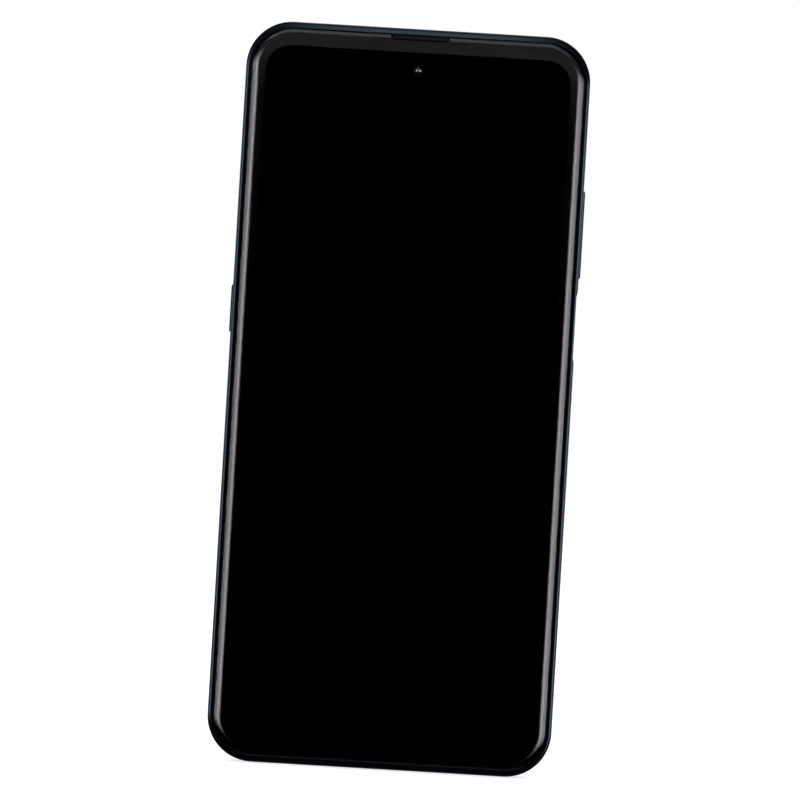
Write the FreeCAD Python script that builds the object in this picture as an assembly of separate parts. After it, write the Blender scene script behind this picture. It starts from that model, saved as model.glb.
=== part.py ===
import FreeCAD, Part
import math
import os

# Smartphone, upright: +X right seen from the screen, +Z towards the earpiece,
# screen facing -Y. Origin: middle of the bottom edge, half way through the body.
# Millimetres throughout. Places near the top edge are worked out from body_height.

Vector = FreeCAD.Vector
along_x = Vector(1, 0, 0)
along_y = Vector(0, 1, 0)
along_z = Vector(0, 0, 1)

# Outline
body_width = 79.7
body_height = 171.4
body_thickness = 9.1
corner_radius = 10.6
half_width = body_width / 2

# Depths, front to rear
front_y = -body_thickness / 2
rear_y = body_thickness / 2
glass_thickness = 0.8
print_thickness = 0.05
lcd_thickness = 1.25
light_thickness = 0.9
plate_thickness = 0.5
cover_wall = 0.9
glass_back_y = front_y + glass_thickness
print_back_y = glass_back_y + print_thickness
lcd_back_y = print_back_y + lcd_thickness
light_back_y = lcd_back_y + light_thickness
plate_y = light_back_y + plate_thickness
ledge_y = front_y + 1.1
cover_inner_y = rear_y - cover_wall

# Side frame
frame_front_y = front_y + 0.55
frame_rear_y = rear_y - 1.95
frame_wall = 2.2
ledge_inner = 3.4
front_round = 0.65
rear_round = 4.25
step_inset = 1.25
step_depth = 0.2
seam = 0.12
fit_gap = 0.05
room_gap = 0.3

# Front glass
glass_inset = 1.4
glass_curve_width = 1.7
glass_curve_drop = 0.5
notch_top_length = 14.0
notch_foot_length = 12.8
notch_slope = 0.9
notch_low_z = body_height - 2.7

# Display
active_width = 69.5
active_height = 154.5
active_corner = 5.6
active_top_z = body_height - 5.5
active_low_z = active_top_z - active_height
lcd_width = 71.5
lcd_corner = 5.0
lcd_low_z = 4.0
lcd_top_z = body_height - 4.1
light_low_z = 9.6
light_margin = 0.3
flex_film = 0.12

# Front camera, earpiece and sensor
front_camera_z = body_height - 9.5
camera_hole_radius = 2.3
camera_window_radius = 1.45
front_barrel_radius = 1.95
front_bore_radius = 1.2
front_bore_depth = 1.0
receiver_x = 11.5
receiver_z = body_height - 6.4
receiver_rear_y = 1.4
sensor_x = 13.5
sensor_z = body_height - 2.5
sensor_depth = 0.85

# Keys: lengths run along z; ears behind the wall keep each key in its slot
key_y = 0.4
key_width = 2.4
key_stand_out = 0.45
key_round = 0.35
key_gap = 0.1
ear_gap = 0.3
ear_back_x = half_width - 1.4
ear_front_x = half_width - 1.0
nub_tip_x = half_width - 1.95
nub_radius = 0.6
dome_spacing = 13.0
recess_depth = 0.27
recess_floor = 14.2
recess_slope = 1.2
sensor_plate = 0.25
sensor_seat = 0.3
rocker = {
    "z": body_height - 45.2, "length": 20.4, "width": key_width, "face_x": half_width + key_stand_out,
    "ear_length": 9.0, "ear_width": 3.2, "play": 0.15, "nubs": (-dome_spacing / 2, dome_spacing / 2),
}
power = {
    "z": body_height - 66.8, "length": 12.8, "width": 3.0, "face_x": half_width - recess_depth,
    "ear_length": 14.4, "ear_width": 2.6, "play": fit_gap, "nubs": (0,),
}
assistant = {
    "z": body_height - 66.9, "length": 11.1, "width": key_width, "face_x": half_width + key_stand_out,
    "ear_length": 12.7, "ear_width": 2.0, "play": fit_gap, "nubs": (0,),
}

# Key cables on the tabs of the plate
tab_x = half_width - 2.8
flex_x = half_width - 2.5
flex_thickness = 0.15
flex_foot_y = key_y - 1.2
dome_radius = 0.95
dome_height = 0.35

# SIM tray
tray_z = body_height - 21.4
tray_length = 15.4
tray_depth = 26.4
tray_half = 6.9
tray_y = (-0.75, 0.35)
door_depth = 1.0
door_round = 0.15
neck_inset = 0.4
card_half = 6.2
card_lip = 0.6
card_floor_y = -0.6
card_bays = [(2.4, 9.0), (13.0, 11.4)]
eject_radius = 0.4
reader_wall = 0.2

# Bottom openings
port_y = 0.4
port_opening = (9.1, 3.3)
jack_x = -20.0
jack_radius = 1.8
jack_depth = 14.3
jack_body = 2.6
usb_inner_width = 8.34
usb_inner_height = 2.56
usb_wall = 0.3
usb_mouth_z = 0.6
usb_depth = 6.8
tongue_half = 3.35
microphone_x = -11.0
microphone_half = 1.75
speaker_hole_radius = 0.65
speaker_hole_count = 6
speaker_hole_pitch = 2.3
speaker_hole_start = 13.5
top_microphone_x = -18.0
small_hole_radius = 0.5

# Boards, inner covers and screws
board_front_y = 0.7
board_rear_y = 1.4
board_reach = half_width - 3.25
plug_height = 0.7
can_wall = 0.15
can_height = 1.05
bracket_rear_y = cover_inner_y - 0.45
bracket_front_y = bracket_rear_y - 0.65
film_thickness = 0.1
upper_screws = [
    (-32, body_height - 7.9), (29.5, body_height - 7.9), (-34, body_height - 32.9),
    (34, body_height - 27.4), (33.5, body_height - 47.4), (-27, body_height - 47.4),
]
lower_screws = [(-32, 19.5), (-29, 7.5), (12.5, 25.5), (32.5, 25.5)]
shoulder_radius = 2.3
boss_radius = 1.6
thread_radius = 0.72
screw_radius = 0.7
screw_head_radius = 1.25
screw_head_height = 0.45
screw_length = 3.0
cross_reach = 0.7
cross_half = 0.11
cross_depth = 0.25
hole_gap = 0.1

# Battery
battery_low_z = 30.0
battery_top_z = body_height - 53.4
battery_width = 62.0
battery_front_y = plate_y + 0.1
battery_rear_y = cover_inner_y - 0.3
battery_round = 1.6
terrace_length = 4.0
terrace_rear_y = 2.1

# Rear cameras
island_z = body_height - 31.4
island_radius = 17.4
island_top_y = rear_y + 1.5
island_chamfer = 0.45
flange_radius = 18.4
flange_front_y = 3.3
window_radius = 16.2
window_front_y = rear_y + 0.85
window_thickness = 0.55
window_chamfer = 0.12
deck_front_y = window_front_y - 0.6
lens_pitch = 5.9
main_lens = (lens_pitch, island_z + lens_pitch)
wide_lens = (-lens_pitch, island_z + lens_pitch)
macro_lens = (-lens_pitch, island_z - lens_pitch)
depth_lens = (lens_pitch, island_z - lens_pitch)
flash = (0, island_z - 12.1)
deck_holes = [(main_lens, 4.0), (wide_lens, 3.2), (macro_lens, 2.5), (depth_lens, 2.5), (flash, 1.7)]
camera_round = 0.6
camera_seat_y = 1.0
small_camera_half = 3.1
main_barrel_radius = 3.2
main_barrel_front_y = 0.25
main_bore_gap = 0.08
camera_bay_x = (-11.2, 11.2)

# Speaker, in the lower right corner
speaker_top_z = 28.6
wing_top_z = 22.4
driver_x = (14, 31)
driver_top_z = 21
driver_rear_y = 1.6

# Vibration motor, lying along x
motor_x = -12
motor_y = 0.95
motor_z = 26.2
motor_radius = 2.0
motor_length = 7.5
winding_radius = 1.35
weight_radius = 1.85
weight_length = 2.8
shaft_radius = 0.35
shaft_length = 10.0


# ---------------------------------------------------------------- helpers

def block(x, y, z):
    """Box between two values on each axis."""
    return Part.makeBox(x[1] - x[0], y[1] - y[0], z[1] - z[0], Vector(x[0], y[0], z[0]))


def disc(x, z, radius, y):
    """Cylinder along y between two depths."""
    return Part.makeCylinder(radius, y[1] - y[0], Vector(x, y[0], z), along_y)


def about(middle, half):
    """The two values at one distance either side of a middle."""
    return (middle - half, middle + half)


def from_top(low, high):
    """Two heights, given as distances down from the top edge."""
    return (body_height - low, body_height - high)


def through(front, rear):
    """A span of depths that runs past both ends, for cutting."""
    return (front - 1, rear + 1)


def straight_edges(solid, axis):
    """Straight edges that run along an axis."""
    found = []
    for edge in solid.Edges:
        if not isinstance(edge.Curve, Part.Line):
            continue
        if abs(edge.tangentAt(edge.FirstParameter).dot(axis)) > 0.999:
            found.append(edge)
    return found


def edges_at(solid, axis, place):
    """Edges that lie in the plane at one place on an axis."""
    name = {(1, 0, 0): "X", (0, 1, 0): "Y", (0, 0, 1): "Z"}[tuple(axis)]
    found = []
    for edge in solid.Edges:
        box = edge.BoundBox
        low = getattr(box, name + "Min")
        high = getattr(box, name + "Max")
        if abs(low - place) < 0.001 and abs(high - place) < 0.001:
            found.append(edge)
    return found


def rounded_block(x, y, z, radius, axis=along_y):
    """Box with the edges along one axis rounded."""
    solid = block(x, y, z)
    return solid.makeFillet(radius, straight_edges(solid, axis))


def slab(inset, front, rear):
    """The body's outline taken in by inset, between two depths."""
    x = about(0, half_width - inset)
    return rounded_block(x, (front, rear), (inset, body_height - inset), corner_radius - inset)


def stadium(length, width, depth, start, push, along):
    """Bar with round ends, from start along push; its length runs along."""
    radius = width / 2
    across = push.cross(along) * radius
    reach = along * (length / 2 - radius)
    tip = along * (length / 2)
    edges = [
        Part.LineSegment(start + reach + across, start - reach + across),
        Part.Arc(start - reach + across, start - tip, start - reach - across),
        Part.LineSegment(start - reach - across, start + reach - across),
        Part.Arc(start + reach - across, start + tip, start + reach + across),
    ]
    wire = Part.Wire([edge.toShape() for edge in edges])
    return Part.Face(wire).extrude(push * depth)


def prism(points, push):
    """Flat polygon pushed along a vector."""
    return Part.Face(Part.makePolygon(points + points[:1])).extrude(push)


def turned(profile, x, z):
    """Solid turned about the line along y at (x, z); the profile gives (radius, y)."""
    points = [Vector(x + radius, y, z) for radius, y in profile]
    face = Part.Face(Part.makePolygon(points + points[:1]))
    return face.revolve(Vector(x, 0, z), along_y, 360)


def cap_radius(radius, height):
    """Radius of the sphere whose cap has this radius and height."""
    return (radius ** 2 + height ** 2) / (2 * height)


def joined(first, others):
    """One solid from solids that meet."""
    return first.fuse(others).removeSplitter()


def mirrored(solid):
    """The same piece on the other side of the phone."""
    return solid.mirror(Vector(0, 0, 0), along_x)


def at_height(solid, z):
    """The solid moved up to a height."""
    solid.translate(along_z * z)
    return solid


def bent_path(points, radius):
    """Straight runs joined by tangent arcs of one radius."""
    edges = []
    here = points[0]
    for before, corner, after in zip(points, points[1:], points[2:]):
        enter = (corner - before).normalize()
        leave = (after - corner).normalize()
        turn = enter.getAngle(leave)
        trim = radius * math.tan(turn / 2)
        bulge = radius * (1 / math.cos(turn / 2) - 1)
        begin = corner - enter * trim
        end = corner + leave * trim
        middle = corner + (leave - enter).normalize() * bulge
        edges.append(Part.LineSegment(here, begin).toShape())
        edges.append(Part.Arc(begin, middle, end).toShape())
        here = end
    edges.append(Part.LineSegment(here, points[-1]).toShape())
    return Part.Wire(edges)


def flat_cable(x, route, radius, width):
    """Flexible strip at one x, its route given as (y, z) pairs."""
    points = [Vector(x, y, z) for y, z in route]
    path = bent_path(points, radius)
    start = points[0]
    away = (points[1] - start).normalize()
    side = along_x * (width / 2)
    lift = away.cross(along_x) * (flex_film / 2)
    corners = [start + side + lift, start - side + lift, start - side - lift, start + side - lift]
    section = Part.makePolygon(corners + corners[:1])
    return path.makePipeShell([section], True, False)


def ring_round(section):
    """Carry a section that lies in the plane z = corner_radius round the whole outline."""
    reach_z = along_z * (body_height - 2 * corner_radius)
    reach_x = along_x * (body_width - 2 * corner_radius)
    right = half_width - corner_radius
    top = body_height - corner_radius
    pieces = []
    for pivot, run in (
        (Vector(right, 0, top), reach_z),
        (Vector(-right, 0, top), reach_x * -1),
        (Vector(-right, 0, corner_radius), reach_z * -1),
        (Vector(right, 0, corner_radius), reach_x),
    ):
        pieces.append(section.extrude(run))
        moved = section.copy()
        moved.translate(run)
        pieces.append(moved.revolve(pivot, along_y, -90))
        moved.rotate(pivot, along_y, -90)
        section = moved
    return pieces


def screw_holes(places, radius, span):
    """Round holes at the screws."""
    return [disc(x, z, radius, span) for x, z in places]


# ---------------------------------------------------------------- front

def notch_tool(grow):
    """Earpiece notch through the glass: its ends slope in towards the foot."""
    y = front_y - 1
    reach = notch_top_length / 2 + grow
    foot = notch_foot_length / 2 + grow
    low = notch_low_z - grow
    points = [
        Vector(-reach, y, body_height),
        Vector(-reach, y, low + notch_slope),
        Vector(-foot, y, low),
        Vector(foot, y, low),
        Vector(reach, y, low + notch_slope),
        Vector(reach, y, body_height),
    ]
    return prism(points, along_y * 3)


def make_front_glass():
    """Cover glass whose front edge falls away in an arc all round."""
    inner = glass_inset + glass_curve_width
    radius = cap_radius(glass_curve_width, glass_curve_drop)
    half_turn = math.asin(glass_curve_width / radius) / 2
    x_in = half_width - inner
    x_out = half_width - glass_inset
    level = corner_radius
    crown = Vector(x_in, front_y, level)
    middle = Vector(x_in + radius * math.sin(half_turn),
                    front_y + radius * (1 - math.cos(half_turn)), level)
    edge = Vector(x_out, front_y + glass_curve_drop, level)
    foot = Vector(x_out, glass_back_y, level)
    root = Vector(x_in, glass_back_y, level)
    outline = [
        Part.Arc(crown, middle, edge),
        Part.LineSegment(edge, foot),
        Part.LineSegment(foot, root),
        Part.LineSegment(root, crown),
    ]
    section = Part.Face(Part.Wire([line.toShape() for line in outline]))
    core = slab(inner, front_y, glass_back_y)
    return joined(core, ring_round(section)).cut(notch_tool(0))


def make_border_print():
    """Black border behind the glass, and the separate ring round the camera."""
    span = (glass_back_y, print_back_y)
    active = rounded_block(about(0, active_width / 2), span, (active_low_z, active_top_z), active_corner)
    border = slab(glass_inset + 0.1, *span).cut([active, notch_tool(0.1)])
    ring = disc(0, front_camera_z, camera_hole_radius, span)
    ring = ring.cut(disc(0, front_camera_z, camera_window_radius, span))
    return Part.makeCompound([border, ring])


def make_display_gasket():
    """Adhesive frame between the printed border and the ledge of the side frame."""
    outer = slab(glass_inset + 0.2, print_back_y, ledge_y)
    inner = slab(ledge_inner - 0.1, print_back_y, ledge_y)
    return outer.cut([inner, notch_tool(0.15)])


def make_lcd_panel():
    """Laminated display cell, with the driver ledge bare at its foot."""
    span = (print_back_y, lcd_back_y)
    panel = rounded_block(about(0, lcd_width / 2), span, (lcd_low_z, lcd_top_z), lcd_corner)
    return panel.cut(disc(0, front_camera_z, camera_hole_radius, span))


def make_backlight():
    """Light guide, films and tray, one sealed unit."""
    span = (lcd_back_y, light_back_y)
    x = about(0, lcd_width / 2 - light_margin)
    unit = rounded_block(x, span, (light_low_z, lcd_top_z - light_margin), lcd_corner - 0.5)
    return unit.cut(disc(0, front_camera_z, camera_hole_radius + 0.1, span))


def make_display_flex():
    """Cable from the driver ledge round the foot of the backlight to the lower board."""
    front = lcd_back_y + flex_film / 2
    rear = board_front_y - 0.8 - flex_film / 2
    bend_z = light_low_z - 1.5
    route = [(front, 4.6), (front, bend_z), (rear, bend_z), (rear, 13.0)]
    return flat_cable(-12.0, route, 0.5, 9.0)


def make_earpiece_mesh():
    """Mesh carrier standing in the notch of the glass, on the ledge."""
    room = block((-8, 8), (front_y + 0.55, ledge_y), (0, body_height - glass_inset - fit_gap))
    return notch_tool(-0.08).common(room)


def make_earpiece_receiver():
    """Receiver capsule behind the plate, beside the front camera, with a raised lip."""
    half_x, half_z, step = 6.0, 3.2, 0.8
    high_y = receiver_rear_y + 0.35
    inner_x = about(receiver_x, half_x - step)
    inner_z = about(receiver_z, half_z - step)
    body = rounded_block(about(receiver_x, half_x), (plate_y, receiver_rear_y),
                         about(receiver_z, half_z), 1.2)
    lip = rounded_block(inner_x, (receiver_rear_y, high_y), inner_z, 0.6)
    return joined(body, [lip])


def make_front_camera_module():
    """Camera body behind the plate with its barrel up through the display."""
    z = (front_camera_z - 3.5, front_camera_z + 3.3)
    front = print_back_y + 0.25
    body = rounded_block(about(0, 3.5), (plate_y, 2.3), z, 0.5)
    barrel = disc(0, front_camera_z, front_barrel_radius, (front, plate_y))
    bore = disc(0, front_camera_z, front_bore_radius, (print_back_y, print_back_y + front_bore_depth))
    mouth = Vector(0, front, front_camera_z)
    cone = Part.makeCone(front_barrel_radius - 0.2, front_bore_radius, 0.5, mouth, along_y)
    return joined(body, [barrel]).cut([bore, cone])


def make_front_camera_lens():
    """Small domed element at the foot of the front camera's bore."""
    rim = 0.3
    dome = 0.2
    seat = print_back_y + front_bore_depth
    crown = seat - rim - dome
    sphere = cap_radius(front_bore_radius, dome)
    stem = disc(0, front_camera_z, front_bore_radius, (crown, seat))
    return stem.common(Part.makeSphere(sphere, Vector(0, crown + sphere, front_camera_z)))


def make_proximity_sensor():
    """Light and proximity sensor in its pocket in the ledge."""
    span = (ledge_y, ledge_y + sensor_depth)
    return rounded_block(about(sensor_x, 1.4), span, about(sensor_z, 0.5), 0.25)


# ---------------------------------------------------------------- side frame

def body_form(inset, front, rear, roundness):
    """The body's form with its rear edge rounded all the way round."""
    form = slab(inset, front, rear)
    return form.makeFillet(roundness, edges_at(form, along_y, rear))


def inside_shell(solid):
    """The piece trimmed to the room inside the side frame and the rear cover."""
    return solid.common(body_form(frame_wall + room_gap, light_back_y, cover_inner_y, 2.2))


def all_round(front, rear):
    """Everything between two depths."""
    return block(about(0, body_width), (front, rear), (-corner_radius, body_height + corner_radius))


def seam_groove():
    """Hairline groove in the rear edge of the frame, where the cover meets it."""
    rise = frame_rear_y - (rear_y - rear_round)
    come_in = rear_round - math.sqrt(rear_round ** 2 - rise ** 2)
    front = frame_rear_y - seam
    return all_round(front, frame_rear_y + 1).cut(slab(come_in + seam, front - 1, frame_rear_y + 2))


def key_slot(key):
    """Cut for one key in the right wall: the slot, and the pocket for its ears."""
    inside = half_width - frame_wall - 0.2
    start = Vector(inside, key_y, key["z"])
    slot = stadium(key["length"] + 2 * key_gap, key["width"] + 2 * key_gap, 4, start, along_x, along_z)
    pocket = block(
        (inside, ear_front_x + key["play"]),
        about(key_y, (key["ear_width"] + ear_gap) / 2),
        about(key["z"], key["ear_length"] / 2 + ear_gap),
    )
    return [slot, pocket]


def recess_tool():
    """Shallow flat in the right side with sloping ends, for the power key."""
    past = 1.0
    floor_x = half_width - recess_depth
    outer_x = half_width + past
    half = recess_floor / 2
    run = recess_slope * (recess_depth + past) / recess_depth
    points = [
        Vector(floor_x, -body_thickness, power["z"] - half),
        Vector(floor_x, -body_thickness, power["z"] + half),
        Vector(outer_x, -body_thickness, power["z"] + half + run),
        Vector(outer_x, -body_thickness, power["z"] - half - run),
    ]
    return prism(points, along_y * (2 * body_thickness))


def tray_slot():
    """Door opening and the narrower way in for the tray, in the left wall."""
    gap = 2 * fit_gap
    past = 0.5
    start = Vector(-half_width - past, 0, tray_z)
    door = stadium(tray_length + gap, key_width + gap, past + door_depth + fit_gap, start, along_x, along_z)
    way = stadium(tray_length - neck_inset + gap, key_width - neck_inset + gap, 3, start, along_x, along_z)
    return [door, way]


def bottom_openings():
    """Jack hole, USB-C opening, microphone hole and the row of speaker holes."""
    deep = frame_wall + 1
    under = -0.5
    tools = [stadium(*port_opening, deep, Vector(0, port_y, under), along_z, along_x)]
    holes = [(jack_x, jack_radius), (microphone_x, small_hole_radius)]
    for index in range(speaker_hole_count):
        holes.append((speaker_hole_start + index * speaker_hole_pitch, speaker_hole_radius))
    for x, radius in holes:
        tools.append(Part.makeCylinder(radius, deep, Vector(x, port_y, under), along_z))
    return tools


def top_openings():
    """Second microphone's hole, the earpiece duct and the sensor's pocket."""
    start = Vector(top_microphone_x, port_y, body_height - 3)
    hole = Part.makeCylinder(small_hole_radius, 4, start, along_z)
    duct = block((-6, 6), (ledge_y - 0.1, plate_y), from_top(2.5, 1.8))
    pocket = block(about(sensor_x, 1.5), (ledge_y - 0.1, ledge_y + sensor_depth), about(sensor_z, 0.6))
    return [hole, duct, pocket]


def make_side_frame():
    """Moulded rim: ledge for the glass, seat for the plate, slots, holes and ports."""
    form = body_form(0, frame_front_y, rear_y, rear_round)
    form = form.makeFillet(front_round, edges_at(form, along_y, frame_front_y))
    form = form.common(all_round(frame_front_y - 1, frame_rear_y))
    inside = [
        slab(glass_inset - fit_gap, frame_front_y - 1, ledge_y),
        slab(ledge_inner, ledge_y - 0.1, light_back_y + 0.1),
        slab(frame_wall, light_back_y, frame_rear_y + 1),
        slab(step_inset, frame_rear_y - step_depth, frame_rear_y + 1),
    ]
    frame = form.cut(inside + [seam_groove()])
    tools = key_slot(rocker) + key_slot(power) + [mirrored(tool) for tool in key_slot(assistant)]
    tools += tray_slot() + bottom_openings() + top_openings() + [recess_tool()]
    return frame.cut(tools)


# ---------------------------------------------------------------- plate

def make_mid_plate():
    """Cast plate with screw bosses, board shoulders, key tabs, ribs and camera seats."""
    adds = []
    for x, z in upper_screws + lower_screws:
        adds.append(disc(x, z, shoulder_radius, (light_back_y, board_front_y)))
        adds.append(disc(x, z, boss_radius, (light_back_y, bracket_front_y)))
    tab_y = (light_back_y, key_y + 0.95)
    adds.append(block((tab_x, flex_x), tab_y, from_top(75.4, 34.4)))
    adds.append(block((-flex_x, -tab_x), tab_y, from_top(74.4, 59.4)))
    for side in (-1, 1):
        rib = about(side * (battery_width / 2 + 0.6), 0.3)
        adds.append(block(rib, (light_back_y, 0.4), (battery_low_z + 2, battery_top_z - 22)))
    adds.append(block((motor_x, motor_x + motor_length), (light_back_y, -0.3), about(motor_z, 1.6)))
    for x, z in (macro_lens, depth_lens):
        half = small_camera_half + 0.1
        adds.append(block(about(x, half), (light_back_y, camera_seat_y), about(z, half)))
    plate = joined(slab(frame_wall, light_back_y, plate_y), adds)
    span = through(light_back_y, plate_y)
    cuts = [
        disc(0, front_camera_z, camera_hole_radius + room_gap, (span[0], plate_y)),
        block((-6.5, 6.5), (span[0], plate_y), from_top(3.2, 1.4)),
        block((-5.2, 5.2), span, (0, 8.6)),
        block(about(jack_x, jack_body + room_gap), span, (0, jack_depth + 0.8)),
        block((-17, -7), span, (7.4, 8.8)),
        Part.makeCylinder(motor_radius, motor_length, Vector(motor_x, motor_y, motor_z), along_x),
    ]
    thread = (bracket_front_y - screw_length, bracket_front_y + 1)
    return plate.cut(cuts + screw_holes(upper_screws + lower_screws, thread_radius, thread))


def make_cover_screws():
    """Ten identical cross-recessed screws that hold the inner covers down on the bosses."""
    head_y = bracket_rear_y - screw_head_height
    recess = (bracket_rear_y - cross_depth, bracket_rear_y)
    screws = []
    for x, z in upper_screws + lower_screws:
        head = disc(x, z, screw_head_radius, (head_y, bracket_rear_y))
        shank = disc(x, z, screw_radius, (head_y - screw_length, head_y))
        cross = [
            block(about(x, cross_reach), recess, about(z, cross_half)),
            block(about(x, cross_half), recess, about(z, cross_reach)),
        ]
        screws.append(joined(head, [shank]).cut(cross))
    return Part.makeCompound(screws)


# ---------------------------------------------------------------- keys

def key_cap(key):
    """A key of the right side: bar with a softened face, ears behind the wall, nubs."""
    depth = key["face_x"] - ear_back_x
    cap = stadium(key["length"], key["width"], depth, Vector(ear_back_x, key_y, 0), along_x, along_z)
    cap = cap.makeFillet(key_round, edges_at(cap, along_x, key["face_x"]))
    ear_y = about(key_y, key["ear_width"] / 2)
    adds = [block((ear_back_x, ear_front_x), ear_y, about(0, key["ear_length"] / 2))]
    for place in key["nubs"]:
        start = Vector(nub_tip_x, key_y, place)
        adds.append(Part.makeCylinder(nub_radius, ear_back_x - nub_tip_x, start, along_x))
    return at_height(joined(cap, adds), key["z"])


def sensor_form(depth):
    """Outline of the fingerprint sensor, from its seat outwards."""
    start = Vector(power["face_x"] - sensor_seat, key_y, power["z"])
    return stadium(power["length"] - 1.2, power["width"] - 0.8, depth, start, along_x, along_z)


def make_power_key():
    """Key flush with the floor of its recess, with a seat for the fingerprint sensor."""
    return key_cap(power).cut(sensor_form(1))


def dome(z):
    """Snap dome on the right-hand key cable."""
    sphere = cap_radius(dome_radius, dome_height)
    base_x = flex_x + flex_thickness
    ball = Part.makeSphere(sphere, Vector(base_x + dome_height - sphere, key_y, z))
    return ball.common(block((base_x, base_x + 1), about(key_y, 2), about(z, 2)))


def key_flex(strip_z, tail_x, tail_z):
    """Cable on a right-hand tab, with a tail folded in over the main board."""
    rear = board_rear_y + flex_thickness
    strip = block((flex_x, flex_x + flex_thickness), (flex_foot_y, rear), strip_z)
    tail = block((tail_x, flex_x + flex_thickness), (board_rear_y, rear), tail_z)
    return joined(strip, [tail])


# ---------------------------------------------------------------- SIM tray

def make_sim_tray():
    """Door, neck and a plate with two card bays that keep a narrow lip."""
    outer_x = -half_width
    inner_x = outer_x + door_depth
    door = stadium(tray_length, key_width, door_depth, Vector(outer_x, 0, tray_z), along_x, along_z)
    door = door.makeFillet(door_round, edges_at(door, along_x, outer_x))
    plate = block((inner_x, inner_x + tray_depth), tray_y, about(tray_z, tray_half))
    tail = [edge for edge in straight_edges(plate, along_y) if edge.BoundBox.XMin > inner_x + 1]
    tray = joined(door, [plate.makeFillet(1.2, tail)])
    cuts = [Part.makeCylinder(eject_radius, 1.5, Vector(outer_x - 0.2, 0.5, tray_z - 5.6), along_x)]
    for offset, length in card_bays:
        start = inner_x + offset
        end = start + length
        cuts.append(rounded_block((start, end), (card_floor_y, 1), about(tray_z, card_half), card_lip))
        cuts.append(rounded_block((start + card_lip, end - card_lip), (-1, 1),
                                  about(tray_z, card_half - card_lip), card_lip))
    return tray.cut(cuts)


def make_sim_tray_gasket():
    """Silicone ring round the neck, behind the door."""
    depth = 0.5
    start = -half_width + door_depth
    ring = stadium(tray_length - neck_inset, key_width - neck_inset, depth, Vector(start, 0, tray_z),
                   along_x, along_z)
    return ring.cut(block((start, start + depth), tray_y, about(tray_z, tray_half)))


def make_sim_reader():
    """Sheet-metal reader cage that the tray slides into."""
    start = -half_width + frame_wall + 0.25
    end = start + 25.7
    room = (tray_y[0] - 0.1, tray_y[1] + 0.1)
    cage = block((start, end), (plate_y, board_front_y), about(tray_z, tray_half + 0.6))
    bay = block((start, end - reader_wall), room, about(tray_z, tray_half + 0.1))
    window = rounded_block((start + 6, end - 5), (room[1] - 0.15, 1), about(tray_z, 4), 0.8)
    return cage.cut([bay, window])


# ---------------------------------------------------------------- rear

def make_rear_cover():
    """Moulded shell carried on from the side frame's curve, open round the cameras."""
    outer = body_form(0, frame_front_y, rear_y, rear_round)
    inner = body_form(1.5, frame_front_y, cover_inner_y, 2.6)
    cover = outer.cut(inner).common(all_round(frame_rear_y, rear_y))
    return cover.cut(disc(0, island_z, island_radius + fit_gap, through(cover_inner_y, rear_y)))


def make_rear_cover_adhesive():
    """Adhesive ring in the step of the side frame."""
    span = (frame_rear_y - step_depth, frame_rear_y)
    return slab(step_inset + 0.1, *span).cut(slab(frame_wall - 0.25, *span))


def make_camera_ring():
    """Turned ring with a flange under the cover, and the deck that carries the window."""
    bore = window_radius + fit_gap
    inner = window_radius - 0.2
    ring = turned([
        (flange_radius, flange_front_y), (flange_radius, cover_inner_y), (island_radius, cover_inner_y),
        (island_radius, island_top_y - island_chamfer), (island_radius - island_chamfer, island_top_y),
        (bore + 0.2, island_top_y), (bore, island_top_y - 0.2), (bore, window_front_y),
        (0, window_front_y), (0, deck_front_y), (inner, deck_front_y), (inner, flange_front_y),
    ], 0, island_z)
    span = through(deck_front_y, window_front_y)
    return ring.cut([disc(x, z, radius, span) for (x, z), radius in deck_holes])


def make_camera_window():
    """Glass disc set just below the rim of the ring."""
    rear = window_front_y + window_thickness
    pane = disc(0, island_z, window_radius, (window_front_y, rear))
    return pane.makeChamfer(window_chamfer, edges_at(pane, along_y, rear))


def camera_body(place, half, front, rear):
    """Square camera housing with softened corners."""
    x, z = place
    return rounded_block(about(x, half), (front, rear), about(z, half), camera_round)


def fixed_camera(place, half, front, barrel):
    """Small fixed-focus camera: housing, barrel and the funnel in front of its lens."""
    x, z = place
    shoulder = 4.3
    tip = deck_front_y + 0.35
    funnel = 0.6
    tube = disc(x, z, barrel, (shoulder, tip))
    mouth = Part.makeCone(barrel * 0.35, barrel * 0.75, funnel, Vector(x, tip + 0.05 - funnel, z), along_y)
    return joined(camera_body(place, half, front, shoulder), [tube]).cut(mouth)


def make_main_camera_module():
    """Housing of the main camera with the bore in which its lens focuses."""
    bore = disc(*main_lens, main_barrel_radius + main_bore_gap, (main_barrel_front_y - 0.05, rear_y))
    return camera_body(main_lens, 4.8, plate_y, 4.0).cut(bore)


def make_main_camera_lens():
    """Focusing barrel: a stepped nose, and a funnel down to the front element."""
    nose = main_barrel_radius - 0.3
    lip = nose - 0.4
    element = 1.3
    return turned([
        (0, main_barrel_front_y), (main_barrel_radius, main_barrel_front_y), (main_barrel_radius, 4.3),
        (nose, 4.5), (nose, 5.0), (lip, 5.0), (element, 4.45), (0, 4.45),
    ], *main_lens)


def make_flash_led():
    """Flash chip standing on the upper cover."""
    x, z = flash
    base_y = 3.9
    base = block(about(x, 1.2), (bracket_rear_y, base_y), about(z, 1.1))
    return joined(base, [disc(x, z, 0.9, (base_y, base_y + 0.3))])


def make_flash_lens():
    """Plastic lens in the deck, in front of the flash chip, with one moulded ring."""
    x, z = flash
    groove = (deck_front_y, deck_front_y + 0.2)
    ring = disc(x, z, 1.1, groove).cut(disc(x, z, 0.6, groove))
    return disc(x, z, 1.65, (deck_front_y, window_front_y)).cut(ring)


# ---------------------------------------------------------------- inside, upper

camera_bay_z = from_top(41.8, 20.2)


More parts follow.
